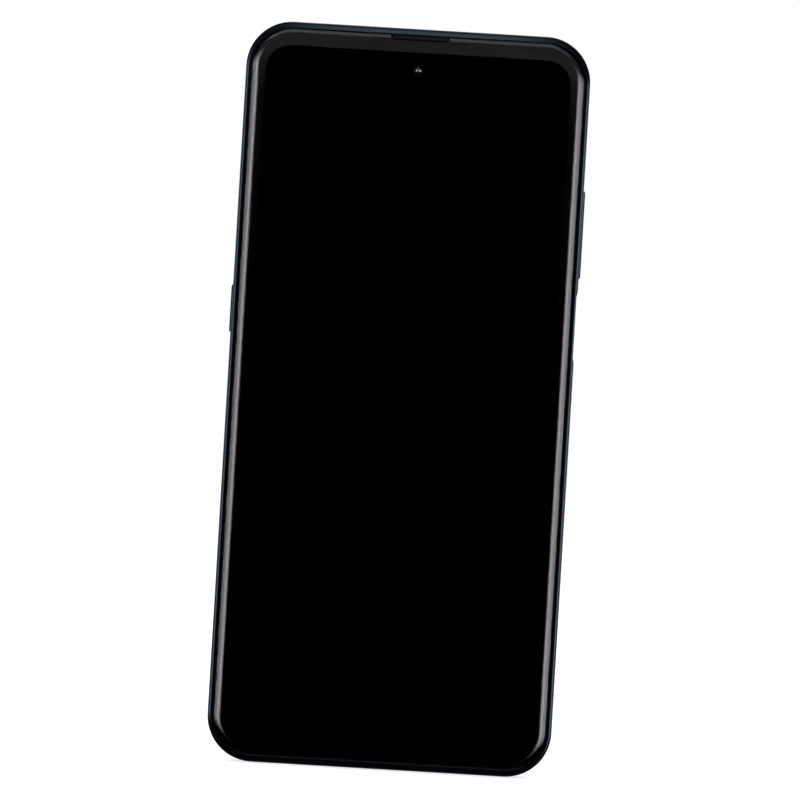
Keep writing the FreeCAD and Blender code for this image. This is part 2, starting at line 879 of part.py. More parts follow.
def make_main_board():
    """Main board, cut away round the cameras, the receiver and the bosses."""
    span = through(board_front_y, board_rear_y)
    board = block(about(0, board_reach), (board_front_y, board_rear_y), from_top(50.8, 1.4))
    cuts = [block(camera_bay_x, span, camera_bay_z), block((-4.2, 18.2), span, from_top(13.6, 1.4))]
    return inside_shell(board).cut(cuts + screw_holes(upper_screws, boss_radius + hole_gap, span))


def make_shield_cans():
    """Sheet-metal lids over the circuits, each open towards the board."""
    rear = board_rear_y + can_height
    places = [
        ((13, 31.2), from_top(42.4, 15.4)),
        ((12.5, 29.5), from_top(49.8, 44)),
        ((-35.2, -14), from_top(29.4, 13.9)),
        ((-30.5, -13), from_top(42, 30.9)),
    ]
    cans = []
    for x, z in places:
        lid = rounded_block(x, (board_rear_y, rear), z, 0.6)
        room = block((x[0] + can_wall, x[1] - can_wall), (board_rear_y, rear - can_wall),
                     (z[0] + can_wall, z[1] - can_wall))
        cans.append(lid.cut(room))
    return Part.makeCompound(cans)


def make_board_connectors():
    """Plugs of the battery, the long cable, the display cable and the aerial lead."""
    low = (board_rear_y, board_rear_y + plug_height)
    tall = (board_rear_y, board_rear_y + 1)
    return Part.makeCompound([
        block((2, 9), low, from_top(49.8, 47.4)),
        block((-22, -13), low, from_top(50, 47.4)),
        block((-22, -13), low, (17.5, 20.2)),
        block((-16, -8), (board_front_y - 0.8, board_front_y), (9.8, 13)),
        block((-31, -29), tall, from_top(44.4, 42.4)),
        block((-31, -29), tall, (13, 15)),
    ])


def microphone(x, z):
    """Microphone can on the rear of a board."""
    return rounded_block(about(x, microphone_half), (board_rear_y, board_rear_y + 1), z, 0.3)


def make_upper_cover():
    """Bracket over the main board, with the camera bay and counterbored screw holes."""
    span = through(bracket_front_y, bracket_rear_y)
    seat = (bracket_rear_y - screw_head_height, bracket_rear_y + 1)
    cover = block(about(0, board_reach - 0.3), (bracket_front_y, bracket_rear_y), from_top(50.4, 1.4))
    cuts = [rounded_block(camera_bay_x, span, camera_bay_z, 2.0)]
    cuts += screw_holes(upper_screws, screw_radius + hole_gap, span)
    cuts += screw_holes(upper_screws, screw_head_radius + hole_gap, seat)
    return inside_shell(cover).cut(cuts)


def make_nfc_antenna():
    """Thin antenna loop on the rear of the upper cover, round the cameras."""
    rear = bracket_rear_y + film_thickness
    span = through(bracket_rear_y, rear)
    sheet = rounded_block((-28, 28), (bracket_rear_y, rear), from_top(49.4, 11.4), 5)
    cuts = screw_holes(upper_screws, screw_head_radius + 0.8, span)
    cuts.append(rounded_block((-23, 23), span, from_top(41.8, 16.4), 4))
    cuts.append(block(about(flash[0], 1.6), span, (flash[1] - 1.5, flash[1] + 4)))
    return sheet.cut(cuts)


# ---------------------------------------------------------------- inside, battery

def make_battery():
    """Pouch cell with soft long edges and the lower terrace of its protection board."""
    x = about(0, battery_width / 2)
    shoulder_z = battery_top_z - terrace_length
    cell = block(x, (battery_front_y, battery_rear_y), (battery_low_z, shoulder_z))
    cell = cell.makeFillet(battery_round, straight_edges(cell, along_z))
    terrace = block((x[0] + 2, x[1] - 2), (battery_front_y, terrace_rear_y), (shoulder_z, battery_top_z))
    return joined(cell, [terrace])


def make_battery_tape():
    """Stretch-release tape under the cell."""
    return block((-22, 22), (plate_y, battery_front_y), (battery_low_z + 8, battery_top_z - 12))


def make_battery_flex():
    """Lead from the protection board to the battery plug."""
    y = (terrace_rear_y, terrace_rear_y + flex_film)
    return block((3.5, 7.5), y, (battery_top_z - 3.2, body_height - 47.6))


def make_main_flex():
    """Long cable over the battery between the two boards."""
    low = board_rear_y + plug_height + flex_film / 2
    high = battery_rear_y + flex_film / 2
    route = [
        (low, 17.8), (low, 22.2), (high, 23.6),
        (high, battery_top_z + 0.2), (low, battery_top_z + 1.6), (low, body_height - 47.6),
    ]
    return flat_cable(-17.5, route, 0.5, 8.0)


def make_coax_cable():
    """Aerial lead up the left side, from plug to plug."""
    radius = 0.4
    y = board_rear_y + 0.5
    plug_x = -31
    side_x = -34.6
    low = 14
    high = body_height - 43.4
    corners = [(plug_x, low), (side_x, low), (side_x, high), (plug_x, high)]
    route = [Vector(x, y, z) for x, z in corners]
    path = bent_path(route, 1.6)
    section = Part.Wire(Part.makeCircle(radius, route[0], along_x))
    cable = path.makePipeShell([section], True, False)
    print("aerial lead: %.3f mm3, expected %.3f" % (cable.Volume, math.pi * radius ** 2 * path.Length))
    return cable


def make_graphite_sheet():
    """Heat-spreading sheet on the inside of the rear cover."""
    span = (cover_inner_y - film_thickness, cover_inner_y)
    return rounded_block((-30, 30), span, (battery_low_z, battery_top_z - 1), 3)


# ---------------------------------------------------------------- inside, lower

def make_sub_board():
    """Lower board, cut away round the two sockets and the bosses."""
    span = through(board_front_y, board_rear_y)
    board = block((-board_reach, 8.3), (board_front_y, board_rear_y), (3.4, wing_top_z - 0.2))
    cuts = [
        block((-4.8, 4.8), span, (0, 7.9)),
        block(about(jack_x, jack_body + 0.4), span, (0, jack_depth + 0.9)),
        block((-37, -30), span, (3, 9)),
    ]
    return inside_shell(board).cut(cuts + screw_holes(lower_screws, boss_radius + hole_gap, span))


def lugs(middle, reach, thickness, z):
    """Pair of fixing lugs on the front of the lower board, either side of a socket."""
    pair = []
    for side in (-1, 1):
        x = sorted((middle + side * reach[0], middle + side * reach[1]))
        pair.append(block(x, (board_front_y - thickness, board_front_y), z))
    return pair


def make_usb_c_shell():
    """Drawn steel shell of the socket with its fixing lugs."""
    start = Vector(0, port_y, usb_mouth_z)
    width = usb_inner_width + 2 * usb_wall
    height = usb_inner_height + 2 * usb_wall
    outer = stadium(width, height, usb_depth, start, along_z, along_x)
    inner = stadium(usb_inner_width, usb_inner_height, usb_depth - 2 * usb_wall, start, along_z, along_x)
    return joined(outer, lugs(0, (4.2, 6.2), 0.25, (4.6, 6.4))).cut(inner)


def make_usb_c_tongue():
    """Contact tongue, thicker at its root."""
    tip = 1.9
    back = usb_mouth_z + usb_depth - 2 * usb_wall
    blade = block(about(0, tongue_half), about(port_y, 0.35), (tip, back))
    corners = [edge for edge in straight_edges(blade, along_y) if edge.BoundBox.ZMax < tip + 0.1]
    root = block(about(0, tongue_half + 0.25), about(port_y, 0.6), (back - 1.2, back))
    return joined(blade.makeFillet(0.3, corners), [root])


def make_headphone_jack():
    """Moulded socket body with a plain bore and lugs on the board."""
    z = (frame_wall, jack_depth + 0.4)
    body = rounded_block(about(jack_x, jack_body), about(port_y, 1.95), z, 0.5, along_z)
    start = Vector(jack_x, port_y, frame_wall)
    bore = Part.makeCylinder(jack_radius, jack_depth - frame_wall, start, along_z)
    return joined(body, lugs(jack_x, (2.4, 4.2), 0.3, (6, 9))).cut(bore)


def make_speaker_box():
    """Speaker chamber at the right, with a thin wing over the lower board."""
    chamber = rounded_block((9, board_reach), (plate_y, bracket_rear_y + 0.1), (1, speaker_top_z), 2.0)
    wing = rounded_block((-board_reach, 12), (bracket_front_y, bracket_rear_y), (1, wing_top_z), 2.0)
    seat = (bracket_rear_y - screw_head_height, bracket_rear_y + 1)
    cuts = screw_holes(lower_screws, shoulder_radius + hole_gap, (plate_y - 1, bracket_front_y))
    cuts += screw_holes(lower_screws, screw_radius + hole_gap, through(plate_y, bracket_rear_y))
    cuts += screw_holes(lower_screws, screw_head_radius + hole_gap, seat)
    duct_y = about(port_y, 0.9)
    cuts.append(block((12.4, 26.8), duct_y, (2, 7)))
    cuts.append(block((16, 24), duct_y, (6, 10)))
    cuts.append(rounded_block(driver_x, (plate_y - 1, driver_rear_y), (9, driver_top_z), 1.5))
    return inside_shell(joined(chamber, [wing])).cut(cuts)


def make_loudspeaker_driver():
    """Loudspeaker unit in its pocket of the chamber."""
    x = (driver_x[0] + 2, driver_x[1] - 2)
    frame = rounded_block(driver_x, (plate_y, driver_rear_y), (10.1, driver_top_z), 1.5)
    return frame.cut(rounded_block(x, (plate_y, -0.6), (12, driver_top_z - 2), 1.2))


def make_speaker_mesh():
    """Fine mesh pressed between the speaker holes and the chamber."""
    last = speaker_hole_start + (speaker_hole_count - 1) * speaker_hole_pitch
    return block((speaker_hole_start - 1.5, last + 2.2), about(port_y, 1.2), (frame_wall, frame_wall + 0.3))


def along_motor(radius, start, length, *turn):
    """Cylinder on the motor's axis, from a distance along it."""
    return Part.makeCylinder(radius, length, Vector(motor_x + start, motor_y, motor_z), along_x, *turn)


def make_motor_can():
    """Case of the vibration motor with the bearing in its end."""
    case = along_motor(motor_radius, 0, motor_length)
    return case.cut([along_motor(1.6, 0.5, 6.1), along_motor(shaft_radius + 0.03, 1, 8)])


def make_vibration_rotor():
    """Winding, shaft and the half-round weight outside the case."""
    weight_start = motor_length + 0.5
    shaft = along_motor(shaft_radius, 1, shaft_length)
    weight = along_motor(weight_radius, weight_start, weight_length, 180)
    hub = along_motor(0.8, weight_start, weight_length)
    return joined(along_motor(winding_radius, 1, 5), [shaft, weight, hub])


# ---------------------------------------------------------------- export

nodes = {
    "front_glass": make_front_glass(),
    "border_print": make_border_print(),
    "display_gasket": make_display_gasket(),
    "lcd_panel": make_lcd_panel(),
    "backlight_unit": make_backlight(),
    "display_flex": make_display_flex(),
    "earpiece_mesh": make_earpiece_mesh(),
    "earpiece_receiver": make_earpiece_receiver(),
    "front_camera_module": make_front_camera_module(),
    "front_camera_lens": make_front_camera_lens(),
    "proximity_sensor": make_proximity_sensor(),
    "side_frame": make_side_frame(),
    "mid_plate": make_mid_plate(),
    "cover_screws": make_cover_screws(),
    "volume_rocker": key_cap(rocker),
    "power_key": make_power_key(),
    "fingerprint_sensor": sensor_form(sensor_plate),
    "assistant_key": mirrored(key_cap(assistant)),
    "volume_key_domes": Part.makeCompound([dome(rocker["z"] + place) for place in rocker["nubs"]]),
    "power_key_dome": dome(power["z"]),
    "assistant_key_dome": mirrored(dome(assistant["z"])),
    "right_key_flex": key_flex(from_top(75.4, 34.4), 33, from_top(41.4, 37.4)),
    "left_key_flex": mirrored(key_flex(from_top(74.4, 43.4), 35, from_top(47.4, 43.4))),
    "sim_tray": make_sim_tray(),
    "sim_tray_gasket": make_sim_tray_gasket(),
    "sim_reader": make_sim_reader(),
    "rear_cover": make_rear_cover(),
    "rear_cover_adhesive": make_rear_cover_adhesive(),
    "camera_ring": make_camera_ring(),
    "camera_window": make_camera_window(),
    "main_camera_module": make_main_camera_module(),
    "main_camera_lens": make_main_camera_lens(),
    "wide_camera_module": fixed_camera(wide_lens, 4.1, plate_y, 2.7),
    "macro_camera_module": fixed_camera(macro_lens, small_camera_half, camera_seat_y, 2.0),
    "depth_camera_module": fixed_camera(depth_lens, small_camera_half, camera_seat_y, 2.0),
    "flash_led": make_flash_led(),
    "flash_lens": make_flash_lens(),
    "main_board": make_main_board(),
    "shield_cans": make_shield_cans(),
    "board_connectors": make_board_connectors(),
    "top_microphone": microphone(top_microphone_x, from_top(6.4, 3.6)),
    "upper_cover": make_upper_cover(),
    "nfc_antenna": make_nfc_antenna(),
    "battery": make_battery(),
    "battery_tape": make_battery_tape(),
    "battery_flex": make_battery_flex(),
    "main_flex": make_main_flex(),
    "rf_coax_cable": make_coax_cable(),
    "graphite_sheet": make_graphite_sheet(),
    "sub_board": make_sub_board(),
    "usb_c_shell": make_usb_c_shell(),
    "usb_c_tongue": make_usb_c_tongue(),
    "headphone_jack": make_headphone_jack(),
    "bottom_microphone": microphone(microphone_x, (3.8, 6.5)),
    "speaker_box": make_speaker_box(),
    "loudspeaker_driver": make_loudspeaker_driver(),
    "speaker_mesh": make_speaker_mesh(),
    "vibration_motor_can": make_motor_can(),
    "vibration_rotor": make_vibration_rotor(),
}

os.makedirs("parts", exist_ok=True)
for name, shape in nodes.items():
    shape.exportStep("parts/%s.step" % name)
    facts = (name, len(shape.Solids), shape.Volume, shape.isValid())
    print("%-22s %2d solid(s) %10.2f mm3 valid %s" % facts)
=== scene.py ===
import math
import bmesh
import bpy
from mathutils import Matrix, Vector


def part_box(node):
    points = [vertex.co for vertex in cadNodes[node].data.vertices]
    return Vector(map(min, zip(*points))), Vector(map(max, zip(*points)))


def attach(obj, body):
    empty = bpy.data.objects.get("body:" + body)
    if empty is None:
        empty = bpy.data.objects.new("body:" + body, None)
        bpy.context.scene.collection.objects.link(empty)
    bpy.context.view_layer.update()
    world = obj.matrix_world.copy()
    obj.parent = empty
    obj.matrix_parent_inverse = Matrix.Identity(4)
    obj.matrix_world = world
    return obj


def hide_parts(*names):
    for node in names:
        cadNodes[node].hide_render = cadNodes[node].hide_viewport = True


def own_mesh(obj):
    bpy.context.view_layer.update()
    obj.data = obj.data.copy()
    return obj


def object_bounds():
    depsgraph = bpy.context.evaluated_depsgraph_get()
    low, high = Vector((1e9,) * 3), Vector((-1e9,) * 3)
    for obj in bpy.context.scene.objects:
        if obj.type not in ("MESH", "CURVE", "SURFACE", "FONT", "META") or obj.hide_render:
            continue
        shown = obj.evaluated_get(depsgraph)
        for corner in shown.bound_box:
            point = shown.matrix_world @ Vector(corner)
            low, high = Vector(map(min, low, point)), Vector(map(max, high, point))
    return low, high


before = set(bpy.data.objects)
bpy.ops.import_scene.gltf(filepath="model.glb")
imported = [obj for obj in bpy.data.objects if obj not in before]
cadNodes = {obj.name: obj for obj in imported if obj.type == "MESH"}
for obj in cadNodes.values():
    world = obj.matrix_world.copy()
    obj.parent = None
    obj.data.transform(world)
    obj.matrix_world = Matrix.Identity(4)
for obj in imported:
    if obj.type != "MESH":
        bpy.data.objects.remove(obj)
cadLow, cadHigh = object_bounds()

mm = 0.001
quarterTurn = math.pi / 2
lightingHeight = (cadLow.z + cadHigh.z) / 2
print("frame loaded:", len(cadNodes), "nodes")


# camera, straight on to the glass and rolled so that the phone leans to the right

cameraLook = {"lens": 200, "distance": 1.0266, "roll": 3.42, "aside": 0.000267, "down": 0.000165}
cameraData = bpy.data.cameras.new("phoneCamera")
cameraData.lens = cameraLook["lens"]
phoneCamera = bpy.data.objects.new("phoneCamera", cameraData)
bpy.context.scene.collection.objects.link(phoneCamera)
phoneCamera.location = (cameraLook["aside"], cadLow.y - cameraLook["distance"],
                        lightingHeight - cameraLook["down"])
phoneCamera.rotation_euler = (quarterTurn, -math.radians(cameraLook["roll"]), 0)
bpy.context.scene.camera = phoneCamera
bpy.context.scene.view_settings.view_transform = "Standard"


# helpers for modelling by hand; radii, steps and settings in millimetres, places and spans in metres

smoothAngle = 32  # degrees between two faces that still shade as one surface
weldReach = 0.0005 * mm
sameSide = 0.99  # how nearly a picked face points the way that is asked for
levelReach = 0.01 * mm  # an edge that runs further than this from front to back isn't level


def pickOnly(*pieces):
    if bpy.context.mode != "OBJECT":
        bpy.ops.object.mode_set(mode="OBJECT")
    bpy.ops.object.select_all(action="DESELECT")
    for piece in pieces:
        piece.select_set(True)
    if pieces:
        bpy.context.view_layer.objects.active = pieces[0]


def pickNothing(kind):
    bpy.ops.mesh.select_mode(type=kind)
    bpy.ops.mesh.select_all(action="DESELECT")


def startEdit(piece):
    pickOnly(piece)
    bpy.ops.object.mode_set(mode="EDIT")
    pickNothing("FACE")


def endEdit(piece, angle=smoothAngle):
    bpy.ops.mesh.select_all(action="SELECT")
    bpy.ops.mesh.remove_doubles(threshold=weldReach)
    bpy.ops.mesh.normals_make_consistent(inside=False)
    bpy.ops.object.mode_set(mode="OBJECT")
    bpy.ops.object.shade_smooth_by_angle(angle=math.radians(angle))
    pickOnly()
    return piece


def pickFacing(piece, *facing):
    pickNothing("FACE")
    mesh = bmesh.from_edit_mesh(piece.data)
    for face in mesh.faces:
        face.select_set(face.normal.dot(Vector(facing)) > sameSide)
    bmesh.update_edit_mesh(piece.data)


def roundCorners(piece, radius, segments):  # bevels the edges from front to back; edit mode stays open
    startEdit(piece)
    pickNothing("EDGE")
    mesh = bmesh.from_edit_mesh(piece.data)
    for edge in mesh.edges:
        edge.select_set(abs(edge.verts[0].co.y - edge.verts[1].co.y) > levelReach)
    bmesh.update_edit_mesh(piece.data)
    bpy.ops.mesh.bevel(offset=radius * mm, segments=segments, affect="EDGES")


def settle(name):  # a new primitive gets its name, and its place goes into its mesh
    piece = bpy.context.object
    piece.name = name
    bpy.ops.object.transform_apply(location=True, rotation=True, scale=True)
    return piece


def addBox(name, low, high):
    pickOnly()
    low, high = Vector(low), Vector(high)
    bpy.ops.mesh.primitive_cube_add(size=1, location=(low + high) / 2, scale=high - low)
    return settle(name)


def flaredBlock(name, look, near, far, base, above):  # widens upwards from its foot; edit mode stays open
    half = look["foot"] / 2 * mm
    piece = addBox(name, (-half, near, base), (half, far, base + look["slope"] * mm))
    startEdit(piece)
    pickFacing(piece, 0, 0, 1)
    bpy.ops.transform.resize(value=(look["top"] / look["foot"], 1, 1))
    bpy.ops.mesh.extrude_region_move(TRANSFORM_OT_translate={"value": (0, 0, above)})
    return piece


def startDisc(name, centre, radius, facing, sides):  # one round face, picked; edit mode stays open
    pickOnly()
    bpy.ops.mesh.primitive_circle_add(vertices=sides, radius=radius * mm, fill_type="NGON",
                                      location=centre, rotation=(-facing * quarterTurn, 0, 0))
    piece = settle(name)
    startEdit(piece)
    bpy.ops.mesh.select_all(action="SELECT")
    return piece


def stepUp(steps, facing=1):
    for inward, rise in steps:  # in from the rim, and out along the facing
        if inward:
            bpy.ops.mesh.inset(thickness=inward * mm, depth=rise * mm)
        else:
            bpy.ops.mesh.extrude_region_move(TRANSFORM_OT_translate={"value": (0, rise * facing * mm, 0)})


def widen(ratio, rise):
    stepUp([(0, rise)])
    bpy.ops.transform.resize(value=(ratio, 1, ratio))


def turnedPiece(name, centre, radius, steps, facing=1, sides=64):
    piece = startDisc(name, centre, radius, facing, sides)
    stepUp(steps, facing)
    return endEdit(piece)


def ringPiece(name, centre, radius, hole, steps, sides=96):
    piece = startDisc(name, centre, radius, 1, sides)
    bpy.ops.mesh.inset(thickness=(radius - hole) * mm)
    bpy.ops.mesh.delete(type="FACE")
    bpy.ops.mesh.select_all(action="SELECT")
    stepUp(steps)
    return endEdit(piece)


def domeSteps(radius, height, count=7, flat=0.04):  # flat is the share of the radius left level on top
    sphere = (radius ** 2 + height ** 2) / (2 * height)
    steps = []
    was = (radius, 0)
    for index in range(1, count + 1):
        across = radius * (1 - index / count * (1 - flat))
        rise = math.sqrt(sphere ** 2 - across ** 2) - (sphere - height)
        steps.append((was[0] - across, rise - was[1]))
        was = (across, rise)
    return steps


def baffleSteps(flat, look):  # rings that go down to a lens in steps
    return [(flat, 0), (look["baffleSlope"], -look["baffleDrop"])] * look["baffles"]


def applyModifier(piece, kind, name, **values):
    pickOnly(piece)
    modifier = piece.modifiers.new(name, kind)
    for key, value in values.items():
        setattr(modifier, key, value)
    bpy.ops.object.modifier_apply(modifier=modifier.name)


def cutAway(piece, cutter, angle):
    applyModifier(piece, "BOOLEAN", "cut", object=cutter, operation="DIFFERENCE", solver="EXACT")
    bpy.data.objects.remove(cutter)
    startEdit(piece)
    endEdit(piece, angle)


def weave(name, centre, wide, tall, look, tilt=0.0):
    pickOnly()
    bpy.ops.mesh.primitive_grid_add(x_subdivisions=round(wide / mm / look["cell"]),
                                    y_subdivisions=round(tall / mm / look["cell"]),
                                    size=1, location=centre, rotation=(tilt, 0, 0))
    bpy.context.object.scale = (wide, tall, 1)
    piece = settle(name)
    applyModifier(piece, "WIREFRAME", "wires", thickness=look["wire"] * mm, use_even_offset=True)
    return piece


def copyPiece(piece, name, move):
    twin = piece.copy()
    twin.data = piece.data.copy()
    twin.name = name
    bpy.context.scene.collection.objects.link(twin)
    twin.data.transform(Matrix.Translation(move))
    return twin


def joinPieces(name, pieces):
    if len(pieces) > 1:
        pickOnly(*pieces)
        bpy.ops.object.join()
    pieces[0].name = name
    return pieces[0]


def dress(piece, material, body, slotName, *standsFor):
    piece.data.materials.clear()
    piece.data.materials.append(material)
    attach(piece, body)
    if standsFor:
        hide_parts(*standsFor)


def bondBack(piece, material, facing):
    piece.data.materials.append(material)
    for face in piece.data.polygons:
        if face.normal.y * facing > sameSide:
            face.material_index = 1  # a glued back gives no second reflection


def middle(nodeName):
    low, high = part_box(nodeName)
    return (low + high) / 2


# helpers for nodes: an input takes a fixed value or another node's output

def isSocket(value):
    return isinstance(value, bpy.types.NodeSocket)


def feed(node, values):
    for key, value in values.items():
        if isSocket(value):
            node.id_data.links.new(value, node.inputs[key])
        else:
            node.inputs[key].default_value = value


def put(tree, kind, values=None, **settings):
    node = tree.nodes.new(kind)
    for key, value in settings.items():
        setattr(node, key, value)
    feed(node, values or {})
    return node


def useGroup(tree, group, **values):
    return put(tree, "ShaderNodeGroup", values, node_tree=group).outputs


def maths(tree, operation, *values):
    return put(tree, "ShaderNodeMath", dict(enumerate(values)), operation=operation).outputs[0]


def vectorMaths(tree, operation, *values):
    node = put(tree, "ShaderNodeVectorMath", dict(enumerate(values)), operation=operation)
    return node.outputs["Value" if operation in ("LENGTH", "DOT_PRODUCT") else "Vector"]


def spread(tree, value, start=0.0, end=1.0, low=0.0, high=1.0, kind="LINEAR"):
    values = {"Value": value, "From Min": start, "From Max": end, "To Min": low, "To Max": high}
    return put(tree, "ShaderNodeMapRange", values, interpolation_type=kind).outputs[0]


def noise(tree, place, scale, detail, rough, distortion=0.0):
    values = {"Vector": place, "Scale": scale, "Detail": detail, "Roughness": rough, "Distortion": distortion}
    return put(tree, "ShaderNodeTexNoise", values).outputs[0]


def blendColours(tree, share, *colours):
    first, second = [colour if isSocket(colour) else (*colour, 1) for colour in colours]
    return put(tree, "ShaderNodeMix", {"Factor": share, "A": first, "B": second},
               data_type="RGBA").outputs["Result"]


def addBump(tree, height, depth):
    return put(tree, "ShaderNodeBump", {"Height": height, "Strength": 1.0, "Distance": depth * mm}).outputs[0]


# node groups shared by the finishes, with sizes in millimetres

def startGroup(name, **takes):
    group = bpy.data.node_groups.new(name, "ShaderNodeTree")
    for label, start in takes.items():
        kind = "NodeSocketVector" if isinstance(start, tuple) else "NodeSocketFloat"
        group.interface.new_socket(name=label, in_out="INPUT", socket_type=kind).default_value = start
    return group, group.nodes.new("NodeGroupInput").outputs


def endGroup(group, **gives):
    for label in gives:
        group.interface.new_socket(name=label, in_out="OUTPUT", socket_type="NodeSocketFloat")
    put(group, "NodeGroupOutput", gives)
    return group


def objectPlace(tree):
    return put(tree, "ShaderNodeTexCoord").outputs["Object"]


def scaledPlace(tree, size):
    values = {0: objectPlace(tree), "Scale": maths(tree, "DIVIDE", 1 / mm, size)}
    return put(tree, "ShaderNodeVectorMath", values, operation="SCALE").outputs[0]


def makeFineGrain():
    group, entry = startGroup("fineGrain", Size=0.2)
    place = scaledPlace(group, entry["Size"])
    fine = noise(group, place, scale=1.0, detail=2.0, rough=0.55)
    broad = noise(group, place, scale=0.12, detail=3.0, rough=0.5)
    return endGroup(group, Height=fine, Mask=spread(group, broad, start=0.35, end=0.65))


def makeHandMarks():
    group, entry = startGroup("handMarks", Size=20.0)
    cloud = noise(group, scaledPlace(group, entry["Size"]), scale=1.0, detail=4.0, rough=0.6, distortion=0.8)
    return endGroup(group, Mask=spread(group, cloud, start=0.45, end=0.75, kind="SMOOTHSTEP"))


def makeDustSpecks():
    group, entry = startGroup("dustSpecks", Size=1.0, Amount=0.1)
    place = scaledPlace(group, entry["Size"])
    cells = put(group, "ShaderNodeTexVoronoi", {"Vector": place, "Scale": 1.0}).outputs
    near = spread(group, cells["Distance"], start=0.16, end=0.04)
    few = maths(group, "LESS_THAN", cells["Color"], entry["Amount"])
    return endGroup(group, Mask=maths(group, "MULTIPLY", near, few))


def makeBrushLines():
    group, entry = startGroup("brushLines", Size=0.1, Stretch=(1, 1, 1))
    place = vectorMaths(group, "MULTIPLY", scaledPlace(group, entry["Size"]), entry["Stretch"])
    return endGroup(group, Height=noise(group, place, scale=1.0, detail=3.0, rough=0.7))


def makeRoundPlace():
    group, entry = startGroup("roundPlace", Centre=(0, 0, 0))
    offset = vectorMaths(group, "SUBTRACT", objectPlace(group), entry["Centre"])
    flat = vectorMaths(group, "MULTIPLY", offset, (1 / mm, 0.0, 1 / mm))
    return endGroup(group, Radius=vectorMaths(group, "LENGTH", flat))


def makeEdgeWear():
    group, entry = startGroup("edgeWear", Reach=0.2)
    reach = maths(group, "MULTIPLY", entry["Reach"], mm)
    soft = put(group, "ShaderNodeBevel", {"Radius": reach}, samples=4).outputs[0]
    plain = put(group, "ShaderNodeNewGeometry").outputs["Normal"]
    match = vectorMaths(group, "DOT_PRODUCT", soft, plain)
    return endGroup(group, Mask=spread(group, match, start=0.995, end=0.9))


fineGrain = makeFineGrain()
handMarks = makeHandMarks()
dustSpecks = makeDustSpecks()
brushLines = makeBrushLines()
roundPlace = makeRoundPlace()
edgeWear = makeEdgeWear()
print("node groups built")


# finishes; the first dictionaries hold what a finish has unless it says otherwise

mouldedLook = {"grain": 0.12, "marks": 18.0, "bump": 0.004, "specular": 0.5, "sheen": (1, 1, 1),
               "coat": 0.0, "coatRough": 0.2, "wear": 0.0, "wearReach": 0.12}
metalLook = {"grain": 0.08, "marks": 9.0, "bump": 0.002, "stretch": (1, 1, 0.05)}
glassyLook = {"marks": 25.0, "dust": 2.5, "dustAmount": 0.02, "ior": 1.5, "tint": (1, 1, 1)}
circuitLook = {"traces": 420.0, "gap": 0.06, "grain": 0.4, "rough": (0.35, 0.5), "bump": 0.01}


def startMaterial(name):
    material = bpy.data.materials.new(name)
    material.use_nodes = True
    tree = material.node_tree
    return material, tree, tree.nodes["Principled BSDF"]


def spreadRough(tree, mask, look):
    return spread(tree, mask, low=look["rough"][0], high=look["rough"][1])


def moulded(name, look):
    look = {**mouldedLook, **look}
    material, tree, shader = startMaterial(name)
    grain = useGroup(tree, fineGrain, Size=look["grain"])
    marks = useGroup(tree, handMarks, Size=look["marks"])
    colour = blendColours(tree, grain["Mask"], look["colour"], look["shade"])
    if look["wear"]:
        worn = useGroup(tree, edgeWear, Reach=look["wearReach"])
        share = maths(tree, "MULTIPLY", worn["Mask"], look["wear"])
        colour = blendColours(tree, share, colour, look["wornColour"])
    feed(shader, {"Base Color": colour, "Roughness": spreadRough(tree, marks["Mask"], look),
                  "Specular IOR Level": look["specular"], "Specular Tint": (*look["sheen"], 1),
                  "Coat Weight": look["coat"], "Coat Roughness": look["coatRough"],
                  "Normal": addBump(tree, grain["Height"], look["bump"])})
    return material


def metal(name, look):
    look = {**metalLook, **look}
    material, tree, shader = startMaterial(name)
    lines = useGroup(tree, brushLines, Size=look["grain"], Stretch=look["stretch"])
    marks = useGroup(tree, handMarks, Size=look["marks"])
    colour = blendColours(tree, lines["Height"], look["colour"], look["shade"])
    feed(shader, {"Base Color": colour, "Metallic": 1.0, "Roughness": spreadRough(tree, marks["Mask"], look),
                  "Normal": addBump(tree, lines["Height"], look["bump"])})
    return material


def clearGlass(name, look):
    look = {**glassyLook, **look}
    material, tree, shader = startMaterial(name)
    marks = useGroup(tree, handMarks, Size=look["marks"])
    dust = useGroup(tree, dustSpecks, Size=look["dust"], Amount=look["dustAmount"])
    dull = maths(tree, "MAXIMUM", marks["Mask"], dust["Mask"])
    feed(shader, {"Base Color": (*look["colour"], 1), "Roughness": spreadRough(tree, dull, look),
                  "Transmission Weight": 1.0, "IOR": look["ior"], "Specular Tint": (*look["tint"], 1)})
    return material


def outlineReach(tree, place, centre, halfWide, halfTall, corner):  # equals corner along a rounded outline
    folded = vectorMaths(tree, "ABSOLUTE", vectorMaths(tree, "SUBTRACT", place, centre))
    inner = vectorMaths(tree, "SUBTRACT", folded, (halfWide - corner, 1, halfTall - corner))
    return vectorMaths(tree, "LENGTH", vectorMaths(tree, "MAXIMUM", inner, (0, 0, 0)))


def paintedLightByHeight(tree, place, top, stops):  # painted light: levels at heights, with straight runs between
    height = put(tree, "ShaderNodeSeparateXYZ", {0: place}).outputs["Z"]
    fade = put(tree, "ShaderNodeValToRGB", {0: maths(tree, "DIVIDE", height, top)})
    elements = fade.color_ramp.elements
    elements.remove(elements[1])
    for index, (spot, level) in enumerate(stops):
        stop = elements.new(spot * mm / top) if index else elements[0]
        stop.color = (level, level, level, 1)
    return fade.outputs[0]


